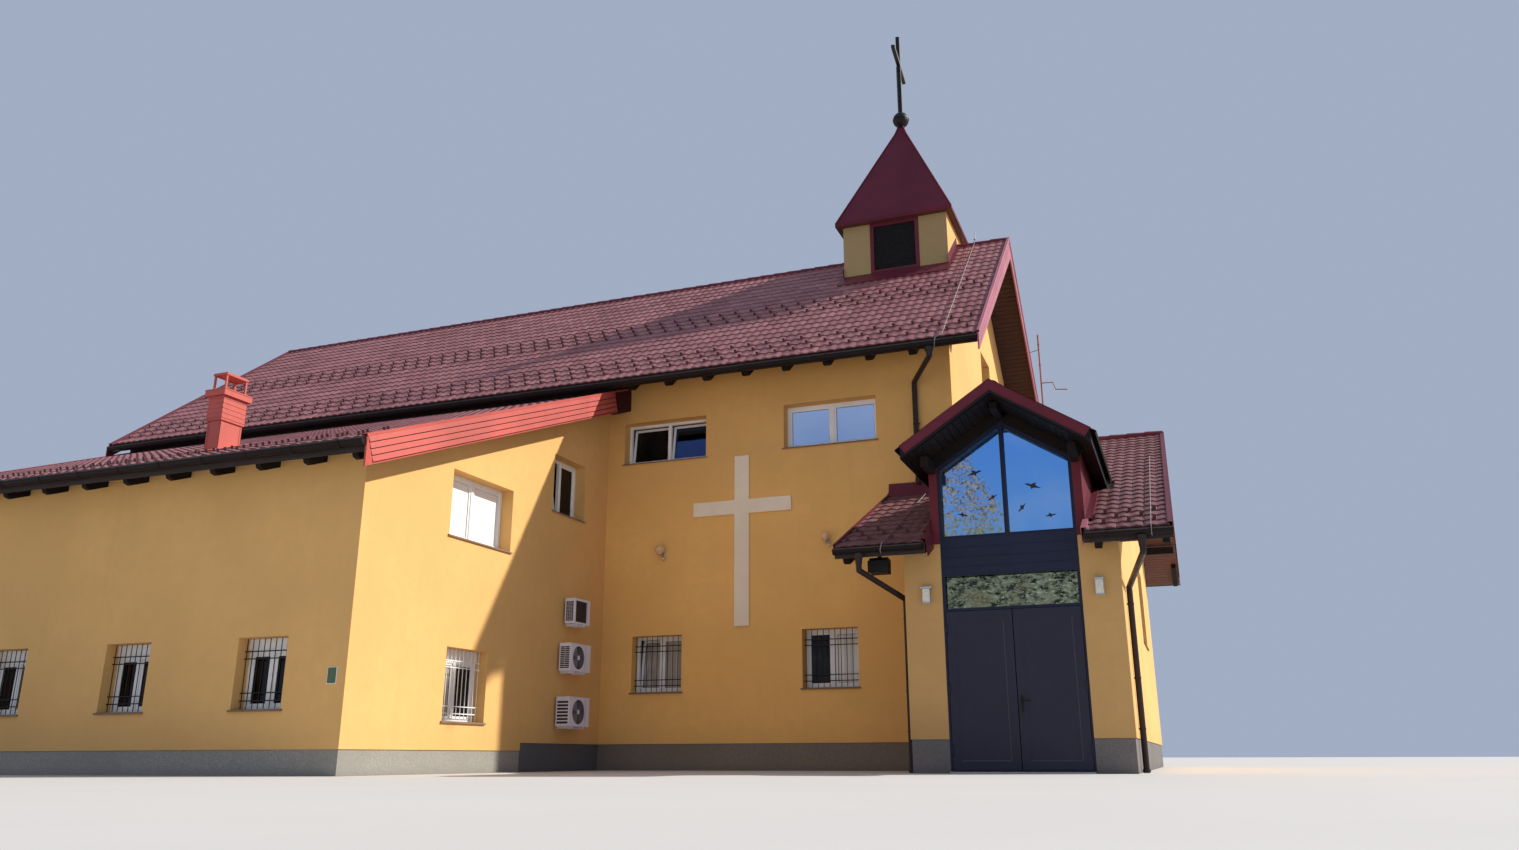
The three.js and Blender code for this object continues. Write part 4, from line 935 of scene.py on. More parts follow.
# The hood's own timbers: a boarded underside, rafters at the glass, ridge beam and purlins
HOOD_FRONT = HOOD["y"][0]
GLASS_Y = -2.98
BEAM_FRONT = -3.60
hood_wood = Shape()
hood_beams = Shape()
for slope, sign in HOOD_SLOPES:
    ends = sorted((sign * (HOOD_FRONT + 0.05), sign * (GLASS_Y - 0.005)))
    planks(hood_wood, slope, ends, (0.03, HOOD_LENGTH - 0.02))
    top = -slope.under - PLANK_THICK - 0.001
    ends = (sign * (GLASS_Y - 0.06), sign * (GLASS_Y - 0.0015))
    slope.slab(hood_beams, ends, (0.10, HOOD_LENGTH - 0.03), (top - 0.155, top))
hood_wood.make("hood_boards", [beam_finish])
for x, top, deep in ((HOOD["mid"], HOOD["apex"] - 0.27, 0.12), (7.415, 4.66, 0.17), (9.605, 4.66, 0.17)):
    hood_beams.box((x - 0.06, x + 0.06), (BEAM_FRONT, GLASS_Y - 0.07), (top - deep, top))
hood_beams.make("hood_beams", [beam_finish], bevel=0.004)


# Sheet metal

WINE_RED, ROSE_PAINTED_SHEEN, RED_PAINTED_SUNLIGHT, IRON, WINE_PAINTED_SHADE = range(5)
EDGE_FINISHES = [red_finish, rose_sheen_finish, verge_sunlit_finish, iron_finish, wine_shade_finish]
CAP_LIFT = (0.056, 0.061)
HALL_UP = (-0.10, HALL_LENGTH + 0.03)
NOTCH_UP = (-0.05, 0.515)
trims = Shape()

# Cappings over the tile ends, each with a turned-down outer lip
# Cappings on sunlit east faces take the paler reds as painted sunlight and sheen
for slope, inner, outer, up, deep, finish in (
    (hall_front, hall_right - 0.015, hall_right + 0.034, HALL_UP, 0, ROSE_PAINTED_SHEEN),
    (hall_back, -hall_right + 0.015, -hall_right - 0.034, HALL_UP, 0, ROSE_PAINTED_SHEEN),
    (hall_front, hall_left + 0.05, hall_left - 0.034, HALL_UP, 0, WINE_RED),
    (hall_back, -hall_left - 0.05, -hall_left + 0.034, HALL_UP, 0, WINE_RED),
    (wing_slope, wing_right - 0.06, wing_right + 0.034, (-0.06, WING_LENGTH - 0.01), 0, RED_PAINTED_SUNLIGHT),
    (wing_slope, wing_left + 0.06, wing_left - 0.02, (-0.03, WING_LENGTH - 0.01), 0.2, WINE_RED),
    (entry_front, entry_left + 0.03, entry_left - 0.008, (-0.03, ENTRY_LEFT_LENGTH - 0.01), 0.16, WINE_RED),
    (entry_front, entry_right - 0.06, entry_right + 0.012, (-0.05, ENTRY_LENGTH), 0.22, WINE_RED),
    (entry_back, -entry_right + 0.06, -entry_right - 0.012, (-0.05, ENTRY_BACK_LENGTH), 0.22, WINE_RED),
    (entry_front, NOTCH_X[0] - 0.05, NOTCH_X[0] + 0.03, NOTCH_UP, 0.24, WINE_RED),
    (entry_front, NOTCH_X[1] + 0.05, NOTCH_X[1] - 0.03, NOTCH_UP, 0.24, ROSE_PAINTED_SHEEN),
):
    slope.slab(trims, (inner, outer), up, CAP_LIFT, finish)
    slope.slab(trims, (inner - 0.002, inner + 0.002), up, (0.012, CAP_LIFT[0]), finish)
    slope.slab(trims, (outer - 0.004, outer + 0.004), up, (0.02 - deep, CAP_LIFT[1]), finish)

for edge, side in ((NOTCH_X[0], -1), (NOTCH_X[1], 1)):
    for near, far, lift in (
        (-0.002, 0.11, CAP_LIFT),
        (0.11, 0.114, (0.012, CAP_LIFT[1])),
        (-0.002, 0.004, (0.03, 0.20)),
    ):
        entry_front.slab(trims, (edge + side * near, edge + side * far), (NOTCH_UP[1], 2.9), lift)
trims.make("verge_trims", EDGE_FINISHES)

# Raised ribs along the verge boards
ribs = Shape()
# Ribs on the east verge take the paler rose as painted sheen
for slope, sign in HALL_SLOPES:
    for x, out, finish in ((hall_right + 0.03, 0.007, ROSE_PAINTED_SHEEN), (hall_left - 0.03, -0.007, WINE_RED)):
        for lift in (-0.045, -0.13):
            face = (sign * x, sign * (x + out))
            slope.slab(ribs, face, (-0.10, HALL_LENGTH - 0.02), (lift - 0.012, lift), finish)
WING_FACE_X = wing_right + 0.0303
BOARD_PITCH = 0.095
BOARD_SHADOW = 0.014
WING_BOARD_UP = (-0.04, WING_LENGTH - 0.75)
# The wing verge boards take the paler red as painted sunlight; under each board's lower edge a darker wine
# strip is painted shadow
for k in range(4):
    top = 0.018 - BOARD_PITCH * k
    foot = top - BOARD_PITCH + BOARD_SHADOW
    rings = []
    for up in WING_BOARD_UP:
        outline = [(0, top), (0, foot), (0.014, foot), (0.004, top)]
        rings.append([wing_slope.point(WING_FACE_X + out, up, lift) for out, lift in outline])
    ribs.loft(rings, RED_PAINTED_SUNLIGHT)
    wing_slope.slab(ribs, (WING_FACE_X, WING_FACE_X + 0.003), WING_BOARD_UP,
                    (foot - BOARD_SHADOW, foot - 0.0005), WINE_PAINTED_SHADE)
# The box at the upper end of the wing verge is darker wine as painted shade
WING_BOX_UP = (WING_LENGTH - 0.74, WING_LENGTH - 0.012)
wing_slope.slab(ribs, (wing_right + 0.031, wing_right + 0.05), WING_BOX_UP, (-0.385, 0.03), WINE_PAINTED_SHADE)
wing_slope.slab(ribs, (wing_right - 0.12, wing_right + 0.052), WING_BOX_UP, (-0.415, -0.385), IRON)

# Front of the hood: a folded sheet that meets in a mitre, with an end sheet behind it and eave drips
BAND_TOP, BAND_FOLD, BAND_FOOT, BAND_DARK = 0.012, -0.032, -0.142, -0.172


def chevron(out, top, foot, finish=WINE_RED):
    """A mitred band before the hood, out to two distances; top and foot are square to its slopes."""
    outline = []
    for lift in (top, foot):
        left = hood_left.point(0, 0, lift)
        right = hood_right.point(0, 0, lift)
        row = [(left.x, left.z), (HOOD["mid"], HOOD["apex"] + lift / hood_left.cos), (right.x, right.z)]
        outline += row if lift == top else row[::-1]
    ribs.prism("Y", (HOOD_FRONT - out[1], HOOD_FRONT - out[0]), outline, finish)


chevron((0.0003, 0.012), BAND_TOP, BAND_FOOT)
chevron((0.012, 0.017), BAND_FOLD, BAND_FOOT)
chevron((0.017, 0.024), BAND_FOOT + 0.012, BAND_FOOT)
chevron((0.0003, 0.006), BAND_FOOT - 0.0005, BAND_DARK, IRON)
for slope, sign in HOOD_SLOPES:
    sheet_end = HOOD_FRONT + HOOD_SHEET
    for near, far, up, lift, finish in (
        (HOOD_FRONT - 0.012, sheet_end, (-0.005, HOOD_LENGTH), (0.004, 0.012), WINE_RED),
        (sheet_end - 0.006, sheet_end, (-0.005, HOOD_LENGTH), (0.012, 0.034), WINE_RED),
        (HOOD_FRONT + 0.002, -0.60, (-0.10, 0.03), (0.001, 0.004), IRON),
        (HOOD_FRONT + 0.002, -0.60, (-0.10, -0.096), (-0.03, 0.001), IRON),
    ):
        slope.slab(ribs, (sign * near, sign * far), up, lift, finish)
ribs.make("verge_ribs", EDGE_FINISHES)

# Flashings: turret apron and side steps, hood valleys, and the upstand on the hall front
APRON_Y = 2.72
LOUVRE_FOOT = 10.94
flashings = Shape()
apron_low = hall_front.up_at(APRON_Y)
apron_high = turret_up[0] - 0.002
for slope, sign in HALL_SLOPES:
    apron = (sign * (TURRET_X[0] - 0.055), sign * (TURRET_X[1] + 0.055))
    slope.slab(flashings, apron, (apron_low, apron_high), CAP_LIFT)
    slope.slab(flashings, apron, (apron_low - 0.006, apron_low), (0.034, 0.061))
    wall_y = TURRET_Y[0] if sign > 0 else TURRET_Y[1]
    foot = hall_top(wall_y - sign * 0.006) + 0.03
    flashings.box((TURRET_X[0] - 0.006, TURRET_X[1] + 0.006), (wall_y - sign * 0.006, wall_y - sign * 0.0005),
                  (foot, LOUVRE_FOOT if sign > 0 else foot + 0.22))
    for x, out in ((TURRET_X[0], -1), (TURRET_X[1], 1)):
        start, face, wide = (sign * (x + out * reach) for reach in (0.0005, 0.006, 0.09))
        slope.slab(flashings, (start, face), (apron_high, HALL_LENGTH + 0.02), (0.05, 0.24))
        slope.slab(flashings, (start, wide), (apron_high, HALL_LENGTH), (0.055, 0.060))

VALLEY_STEPS = 6
VALLEY_WIDE = 0.17
VALLEY_BACK = 0.10


def valley_point(slope, sign, up, beside):
    """A point of the valley sheet, on the hood's slope or beside it on the tiles behind."""
    reach = valley_y(up) - 0.03
    point = slope.point(sign * reach, up, 0.012)
    if not beside:
        return Vector((point.x, reach, point.z))
    return Vector((point.x + sign * VALLEY_WIDE, reach + VALLEY_BACK, entry_top(reach + VALLEY_BACK) + 0.02))


for slope, sign in HOOD_SLOPES:
    for i in range(VALLEY_STEPS):
        low, high = (HOOD_LENGTH * step / VALLEY_STEPS for step in (i, i + 1))
        ring = [valley_point(slope, sign, up, beside)
                for up, beside in ((low, False), (high, False), (high, True), (low, True))]
        flashings.loft([ring, [point + Vector((0, 0, 0.006)) for point in ring]])
deck_z = entry_top(0) + 0.004
flashings.prism("Y", (-0.014, -0.0005), [(5.836, 4.80), (5.926, 4.80), (5.926, deck_z), (HALL_EAST_X, deck_z),
                                         (HALL_EAST_X, 5.135), (5.967, 5.147), (5.957, 4.99)])
flashings.make("flashings", [red_finish])

# Spire: hip rolls, eave lip and boarded soffit
SPIRE_X = 5.53
SPIRE_MID = Vector((SPIRE_X, RIDGE_Y, 0))
SPIRE_HALF = 1.365
SPIRE_LEVELS = ((12.271, SPIRE_HALF), (15.095, 0.130), (15.365, 0.045))
LIP_MID_Z = 12.232
spire = Shape()
for sx, sy in ((1, 1), (1, -1), (-1, 1), (-1, -1)):
    spire.tube([SPIRE_MID + Vector((sx * half, sy * half, z)) for z, half in SPIRE_LEVELS], 0.022, 8)
for sx, sy in SIDES:
    centre = SPIRE_MID + Vector((sx, sy, 0)) * (SPIRE_HALF + 0.006) + Vector((0, 0, LIP_MID_Z))
    along = Vector((sy, sx, 0)) * (SPIRE_HALF + 0.012)
    spire.beam(centre - along, centre + along, 0.012, 0.088)
spire.make("spire_trim", [spire_finish])

SOFFIT_Z = (12.188, 12.209)
soffit = Shape()
for sx, sy in SIDES:
    for near in (1.2265, 1.2925):
        far = near + 0.062
        if sx:
            x = (SPIRE_X + sx * near, SPIRE_X + sx * far)
            y = (RIDGE_Y - 1.355, RIDGE_Y + 1.355)
        else:
            x = (SPIRE_X - 1.2255, SPIRE_X + 1.2255)
            y = (RIDGE_Y + sy * near, RIDGE_Y + sy * far)
        soffit.box(x, y, SOFFIT_Z)
soffit.make("turret_soffit", [brown_finish], bevel=0.003)

# Louvre of the turret: a wine-red frame round a field of fine dark slats
LOUVRE_X = (4.953, 6.097)
LOUVRE_Z = (10.943, 12.185)
LOUVRE_Y = (3.130, 3.250)
STILE, SILL, HEAD = 0.085, 0.055, 0.085
SLATS = 21
louvre = Shape()
louvre.box((LOUVRE_X[0], LOUVRE_X[0] + STILE), LOUVRE_Y, LOUVRE_Z)
louvre.box((LOUVRE_X[1] - STILE, LOUVRE_X[1]), LOUVRE_Y, LOUVRE_Z)
field_x = (LOUVRE_X[0] + STILE, LOUVRE_X[1] - STILE)
louvre.box(field_x, LOUVRE_Y, (LOUVRE_Z[0], LOUVRE_Z[0] + SILL))
louvre.box(field_x, LOUVRE_Y, (LOUVRE_Z[1] - HEAD, LOUVRE_Z[1]))
slat_x = (field_x[0] - 0.002, field_x[1] + 0.002)
for i in range(SLATS):
    z = LOUVRE_Z[0] + SILL + 0.006 + (LOUVRE_Z[1] - LOUVRE_Z[0] - SILL - HEAD - 0.045) * i / (SLATS - 1)
    louvre.prism("X", slat_x, [(3.142, z), (3.149, z), (3.196, z + 0.042), (3.189, z + 0.042)], 1)
louvre.box(slat_x, (3.215, 3.225), (LOUVRE_Z[0] + 0.02, LOUVRE_Z[1] - 0.02), 1)
louvre_piece = louvre.make("turret_louvre_fine", [red_finish, slat_finish])
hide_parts("turret_louvre")

# Ball seam, neck collar and pale strips on the lit side of the cross, the strips being painted sunlight on
# the dark iron
BALL_Z = 15.54
NECK_Z = 15.325
CROSS_TURN = math.radians(4)
CROSS_ARM_Z = 17.1425
CROSS_ARM = 0.81
STRIP_OUT = 0.047
STRIP_WIDE, STRIP_DEEP = 0.075, 0.008
cross_face = Vector((math.cos(CROSS_TURN), math.sin(CROSS_TURN), 0))
cross_arm = Vector((math.sin(CROSS_TURN), -math.cos(CROSS_TURN), 0)) * CROSS_ARM
strip_foot = SPIRE_MID + cross_face * STRIP_OUT
arm_mid = strip_foot + Vector((0, 0, CROSS_ARM_Z))
arm_edge = STRIP_WIDE / 2 + 0.001
finial = Shape()
finial.collar((SPIRE_X, RIDGE_Y, BALL_Z), [(0.199, -0.01), (0.206, -0.006), (0.206, 0.006), (0.199, 0.01)])
finial.collar((SPIRE_X, RIDGE_Y, NECK_Z), [(0.046, -0.03), (0.085, -0.03), (0.07, 0.02), (0.046, 0.03)])
for start, end in (
    (strip_foot + Vector((0, 0, 15.75)), arm_mid - Vector((0, 0, arm_edge))),
    (arm_mid + Vector((0, 0, arm_edge)), strip_foot + Vector((0, 0, 17.93))),
    (arm_mid - cross_arm, arm_mid + cross_arm),
):
    finial.beam(start, end, STRIP_WIDE, STRIP_DEEP, up=cross_face, finish=1)
finial.tube([(SPIRE_X - 0.050, RIDGE_Y - 0.035, z) for z in (15.70, 16.4, 17.08)], 0.006, 8)
finial.make("cross_edge", [iron_finish, cross_sunlit_strip_finish])


# Gutters

rails = Shape()


def gutter_fittings(x, eave, radius, z, pitch=0.82):
    """Rolled front edge, straps and end stops over a plain channel."""
    y = eave - 0.0003 - radius
    front = y - radius

    def half_ring(grow):
        """The underside of the channel, grown outwards."""
        turns = [math.pi * (1 + k / 10) for k in range(11)]
        return [(y + (radius + grow) * math.cos(t), z + (radius * 1.15 + grow) * math.sin(t)) for t in turns]

    rails.tube([(x[0], front + 0.004, z + 0.002), (x[1], front + 0.004, z + 0.002)], 0.011, 10, 1)
    count = max(2, round((x[1] - x[0]) / pitch))
    for i in range(count):
        place = x[0] + (i + 0.5) * (x[1] - x[0]) / count
        span = (place - 0.015, place + 0.015)
        rails.prism("X", span, half_ring(0.0015) + half_ring(0.007)[::-1])
        rails.box(span, (front - 0.002, eave - 0.001), (z + 0.012, z + 0.018))
    for end, out in ((x[0], -1), (x[1], 1)):
        rails.prism("X", sorted((end + out * 0.0005, end + out * 0.006)), half_ring(0.006))


ENTRY_GUTTER = (ENTRY["eave"], 0.065, 3.30, 0.5)
gutter_fittings((hall_left, hall_right - 0.004), HALL["eave"], 0.085, 7.50)
gutter_fittings(WING["x"], WING["eave"], 0.075, 4.52)
gutter_fittings((5.93, 7.32), *ENTRY_GUTTER)
gutter_fittings((9.70, 10.88), *ENTRY_GUTTER)
rails.make("gutter_fittings", [gutter_finish, bead_highlight_finish])

# Downpipes: a funnel at the gutter, clips with a pin to the wall behind, and a sleeve at the foot
HALL_PIPE = (6.545, -0.065)
LEFT_PIPE = (6.845, -2.730)
RIGHT_PIPE = (10.165, -2.080)
HALL_PIPE_RADIUS = 0.050
ENTRY_PIPE_RADIUS = 0.045
pipes = Shape()


def funnel(centre, radius, gutter_radius):
    wide = min(radius * 1.75, gutter_radius * 1.1)
    profile = [(radius + 0.001, -0.16), (radius + 0.006, -0.16), (radius + 0.008, -0.11), (wide, -0.02),
               (wide, 0.0), (radius + 0.001, 0.0)]
    pipes.collar(centre, profile)


def band(centre, low, high, half):
    pipes.collar(centre, [(low, -half), (high, -half), (high, half), (low, half)])


def clip(pipe, z, radius, pin_x, pin_y):
    """A band round an upright pipe with a pin to the wall beside it."""
    band((*pipe, z), radius + 0.0008, radius + 0.005, 0.014)
    pipes.box(pin_x, pin_y, (z - 0.008, z + 0.008))


funnel((7.050, -0.9853, 7.4022), HALL_PIPE_RADIUS, 0.085)
for x in (6.330, 10.460):
    funnel((x, -3.5653, 3.2250), ENTRY_PIPE_RADIUS, 0.065)
for z in (6.25, 5.42):
    clip(HALL_PIPE, z, HALL_PIPE_RADIUS, (6.535, 6.555), (-0.011, 0.0))
    pipes.box((6.595, 6.625), (-0.073, -0.057), (z - 0.012, z + 0.012))
for z in (2.3, 1.2, 0.6):
    clip(LEFT_PIPE, z, ENTRY_PIPE_RADIUS, (6.894, side_left), (-2.74, -2.72))
for z in (2.45, 1.35, 0.62):
    clip(RIGHT_PIPE, z, ENTRY_PIPE_RADIUS, (side_right, 10.116), (-2.09, -2.07))
for pipe, z in ((HALL_PIPE, 5.16), (LEFT_PIPE, 0.03), (RIGHT_PIPE, 0.03)):
    band((*pipe, z), 0.0508, 0.057, 0.022)
pipes.make("pipe_fittings", [pipe_finish])

# Lightning conductors: a stiff round wire on stand-offs down the tiles and over the gutters
WIRE_RADIUS = 0.006
WIRE_LIFT = 0.075
WIRE_FEET = 6
WIRE_TOP_X = 7.187
EAST_WIRE_X = 10.6
wires = Shape()


def conductor(slope, start, end, drop):
    """Runs from start to end, both (along, up), then through the points of drop."""
    wires.tube([slope.point(*start, WIRE_LIFT), slope.point(*end, WIRE_LIFT), *drop], WIRE_RADIUS, 8)
    for k in range(WIRE_FEET):
        share = (k + 0.5) / WIRE_FEET
        along, up = (first + (last - first) * share for first, last in zip(start, end))
        foot, head = (slope.point(along, up, lift) for lift in (0.03, WIRE_LIFT))
        wires.beam(foot, head, 0.008, 0.010, up=(0, 1, 0), finish=1)


conductor(hall_front, (WIRE_TOP_X, HALL_LENGTH - 0.05), (7.302, -0.06),
          [(7.185, -1.09, 7.54), (7.165, -1.086, 7.36)])
conductor(entry_front, (6.70, ENTRY_LEFT_LENGTH - 0.12), (6.74, -0.02),
          [(6.72, -3.64, 3.36), (6.69, -3.645, 3.24), (6.69, -3.60, 3.20)])
conductor(entry_front, (EAST_WIRE_X, 5.6), (EAST_WIRE_X, -0.02),
          [(EAST_WIRE_X, y, z) for y, z in ((-3.64, 3.36), (-3.645, 3.24), (-3.60, 3.20))])
wire_z = HALL["ridge"] + 0.07
wires.tube([(WIRE_TOP_X, RIDGE_Y - 0.05, wire_z - 0.02), (WIRE_TOP_X, RIDGE_Y - 0.02, wire_z + 0.10),
            (7.19, RIDGE_Y, wire_z + 0.28)], WIRE_RADIUS, 8)
wires.collar((WIRE_TOP_X, RIDGE_Y - 0.04, wire_z + 0.05),
             [(0.004, -0.01), (0.03, -0.006), (0.03, 0.008), (0.004, 0.012)])
wires.make("lightning_conductor", [wire_finish, cleat_finish])

# Chimney: corner angles, horizontal laps, base flashing and a plate rim
CHIMNEY_X = (-4.15, -3.87)
CHIMNEY_Y = (-6.40, -5.95)
COLLAR_FOOT = 5.678
stack = Shape()
for x, sx in zip(CHIMNEY_X, (-1, 1)):
    for y, sy in zip(CHIMNEY_Y, (-1, 1)):
        height = (wing_top(y) + 0.04, COLLAR_FOOT)
        stack.box((x + sx * 0.006, x - sx * 0.03), (y + sy * 0.0005, y + sy * 0.006), height)
        stack.box((x + sx * 0.0005, x + sx * 0.006), (y + sy * 0.006, y - sy * 0.03), height)
for i in range(5):
    z = COLLAR_FOOT + 0.042 + 0.085 * i
    stack.rim(CHIMNEY_X, CHIMNEY_Y, (z, z + 0.014), 0.0255, 0.031, reach=0.031)
left, right = (CHIMNEY_X[0] - 0.14, CHIMNEY_X[1] + 0.14)
base_up = (wing_slope.up_at(-6.62), wing_slope.up_at(-5.80))
wing_slope.slab(stack, (left, CHIMNEY_X[0] - 0.001), base_up, (0.056, 0.062))
wing_slope.slab(stack, (CHIMNEY_X[1] + 0.001, right), base_up, (0.056, 0.062))
wing_slope.slab(stack, (left, right), (base_up[0] - 0.1, wing_slope.up_at(-6.402)), (0.062, 0.068))
stack.rim(CHIMNEY_X, CHIMNEY_Y, (6.485, 6.527), 0.0005, 0.012, reach=0)
stack.rim(CHIMNEY_X, CHIMNEY_Y, (6.205, 6.222), 0.0755, 0.081, reach=0.0755)
# The chimney trim is the paler red as painted sunlight
stack.make("chimney_trim", [chimney_sunlit_finish])


# Windows

REVEAL = 0.235
FRAME_DEEP = 0.060
RIM = 0.055
MULLION = 0.070
SASH = 0.052
SASH_LAP = 0.012
SASH_DEEP = 0.057
SEAL_WIDE = 0.006
TILT = math.radians(7.5)
TILT_BACK = 0.045
SILL_OUT = 0.030
SILL_SIDE = 0.035
SILL_THICK = 0.022
BAR = 0.0065
BAR_PITCH = 0.118
BAR_DEPTH = 0.15
RAIL_PLACES = (0.13, 0.24, -0.295, -0.19)
FRAME, GLASS_A, GLASS_B, SEAL = range(4)
# One grey steel for all bars: white on the wing's side windows as painted sunlight, near black elsewhere as
# painted shade
SUNLIT_WHITE_BARS, SHADED_DARK_BARS = range(2)


class Wall:
    """Turns (along, depth, height) on a wall's face into a place; depth goes into the wall."""

    def __init__(self, axis, face, inward):
        self.axis = axis
        self.face = face
        self.inward = inward

    def place(self, along, depth, height):
        deep = self.face + self.inward * depth
        return (along, deep, height) if self.axis == "X" else (deep, along, height)

    def box(self, shape, along, depth, height, finish=0):
        low, high = (self.place(along[i], depth[i], height[i]) for i in range(2))
        shape.box(*zip(low, high), finish)

    def carry(self, shape, along, outline, finish=0):
        """An outline of (depth, height), carried along the wall."""
        shape.loft([[self.place(a, depth, height) for depth, height in outline] for a in along], finish)

    def tilted(self, shape, along, depth, height, foot, finish=0):
        """A box leaning into the wall by TILT about the level line (depth, height) = foot."""
        outline = []
        for near, high in ((0, 0), (1, 0), (1, 1), (0, 1)):
            deep, up = depth[near] - foot[0], height[high] - foot[1]
            outline.append((foot[0] + deep * math.cos(TILT) + up * math.sin(TILT),
                            foot[1] - deep * math.sin(TILT) + up * math.cos(TILT)))
        self.carry(shape, along, outline, finish)


HALL_FRONT_WALL = Wall("X", 0.0, 1)
HALL_BACK_WALL = Wall("X", 8.74, -1)
WING_FRONT_WALL = Wall("X", WING_FRONT_Y, 1)
WING_EAST_WALL = Wall("Y", 0.0, -1)
WING_WEST_WALL = Wall("Y", HALL_WEST_X, 1)
HALL_EAST_WALL = Wall("Y", HALL_EAST_X, -1)
ENTRY_EAST_WALL = Wall("Y", ENTRY_WALL_X[1], -1)


def inset(span, by):
    return span[0] + by, span[1] - by


def ring_of(draw, along, height, wide, depth, finish=FRAME):
    """Four bars round a rectangle, drawn by draw(along, depth, height, finish)."""
    draw((along[0], along[0] + wide), depth, height, finish)
    draw((along[1] - wide, along[1]), depth, height, finish)
    draw(inset(along, wide), depth, (height[0], height[0] + wide), finish)
    draw(inset(along, wide), depth, (height[1] - wide, height[1]), finish)


sills = Shape()
grilles = Shape()


def sill(wall, along, height):
    """A stone sill that falls a little outwards and stands past the reveal."""
    foot = height[0]
    wall.carry(sills, (along[0] - SILL_SIDE, along[1] + SILL_SIDE),
               [(-SILL_OUT, foot - SILL_THICK - 0.008), (-0.0006, foot - SILL_THICK), (-0.0006, foot + 0.004),
                (-SILL_OUT, foot - 0.008)])
    wall.carry(sills, inset(along, 0.001),
               [(-0.0006, foot + 0.0008), (REVEAL, foot + 0.0008), (REVEAL, foot + 0.014),
                (-0.0006, foot + 0.004)])


def grille(wall, along, height, finish):
    """Upright bars with paired rails near head and sill, let into the reveal."""
    low, high = inset(along, 0.03)
    bars = round((along[1] - along[0]) / BAR_PITCH)
    for i in range(bars + 1):
        place = low + (high - low) * i / bars
        ends = [wall.place(place, BAR_DEPTH, z) for z in (height[0] + 0.016, height[1] - 0.004)]
        grilles.tube(ends, BAR, 8, finish)
    for place in RAIL_PLACES:
        rail = place + (height[0] if place > 0 else height[1])
        depth = (BAR_DEPTH - 0.014, BAR_DEPTH - 0.006)
        wall.box(grilles, inset(along, 0.002), depth, (rail - 0.008, rail + 0.008), finish)


def window(name, wall, along, height, panes, node=None, tilt=(), shutter=0, seal=None, bars=None):
    """A white unit of two sashes with seals and panes, on its sill and behind its bars."""
    shape = Shape()
    low, high = inset(along, 0.002)
    foot, top = inset(height, 0.002)
    top -= shutter
    depth = (REVEAL + 0.001, REVEAL + FRAME_DEEP - 0.001)

    def upright(a, d, h, finish=FRAME):
        wall.box(shape, a, d, h, finish)

    ring_of(upright, (low, high), (foot, top), RIM, depth)
    if shutter:
        upright((low, high), (REVEAL - 0.03, REVEAL + 0.12), (top, top + shutter - 0.003))
        lid = inset((top, top + shutter), 0.03)
        upright(inset((low, high), 0.02), (REVEAL - 0.034, REVEAL - 0.0305), lid)
    clear = (high - low - 2 * RIM - MULLION) / 2
    middle = low + RIM + clear
    upright((middle, middle + MULLION), depth, inset((foot, top), RIM))
    rise = inset((foot, top), RIM - SASH_LAP)
    for i, left in enumerate((low + RIM, middle + MULLION)):
        near = REVEAL + 0.018 + (TILT_BACK if i in tilt else 0)
        far = near + SASH_DEEP

        def leaning(a, d, h, finish=FRAME):
            wall.tilted(shape, a, d, h, (far, rise[0]), finish)

        draw = leaning if i in tilt else upright
        sash = (left - SASH_LAP, left + clear + SASH_LAP)
        ring_of(draw, sash, rise, SASH, (near, far))
        ring_of(draw, inset(sash, SASH), inset(rise, SASH), SEAL_WIDE, (near + 0.012, near + 0.03), SEAL)
        draw(inset(sash, SASH + SEAL_WIDE), (near + 0.018, near + 0.026), inset(rise, SASH + SEAL_WIDE),
             (GLASS_A, GLASS_B)[i])
    # Behind tilted sashes a dark sheet stands for the unlit room: painted shade
    if tilt:
        upright(inset((low, high), RIM), (REVEAL + 0.30, REVEAL + 0.305), (foot, top), SEAL)
    seal = seal or (room_shade_finish if tilt else seal_finish)
    made = shape.make(name, [frame_finish, *panes, seal])
    if node:
        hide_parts(node)
    sill(wall, along, height)
    if bars is not None:
        grille(wall, along, height, bars)


DARK = (black_pane, black_pane)
WIDE = ((-5.196, -3.435), (3.68, 4.77))
SMALL = ((-2.103, -0.918), (4.70, 5.80))
LOWER = ((-5.031, -3.903), (0.78, 1.92))
window("hall_window_upper_left", HALL_FRONT_WALL, (0.369, 2.211), (6.05, 6.92), (black_pane, blue_sky_reflection_pane),
       "window_hall_upper_left", tilt=(0, 1))
window("hall_window_upper_right", HALL_FRONT_WALL, (3.88, 5.758), (6.06, 6.945), (pale_sky_reflection_pane, pale_sky_reflection_pane),
       "window_hall_upper_right")
window("hall_window_lower_left", HALL_FRONT_WALL, (0.678, 1.747), (1.44, 2.52), (curtain, curtain),
       "window_hall_lower_left", tilt=(0,), bars=SHADED_DARK_BARS)
window("hall_window_lower_right", HALL_FRONT_WALL, (4.204, 5.28), (1.45, 2.525), (blind_pane, pale_curtain),
       "window_hall_lower_right", bars=SHADED_DARK_BARS)
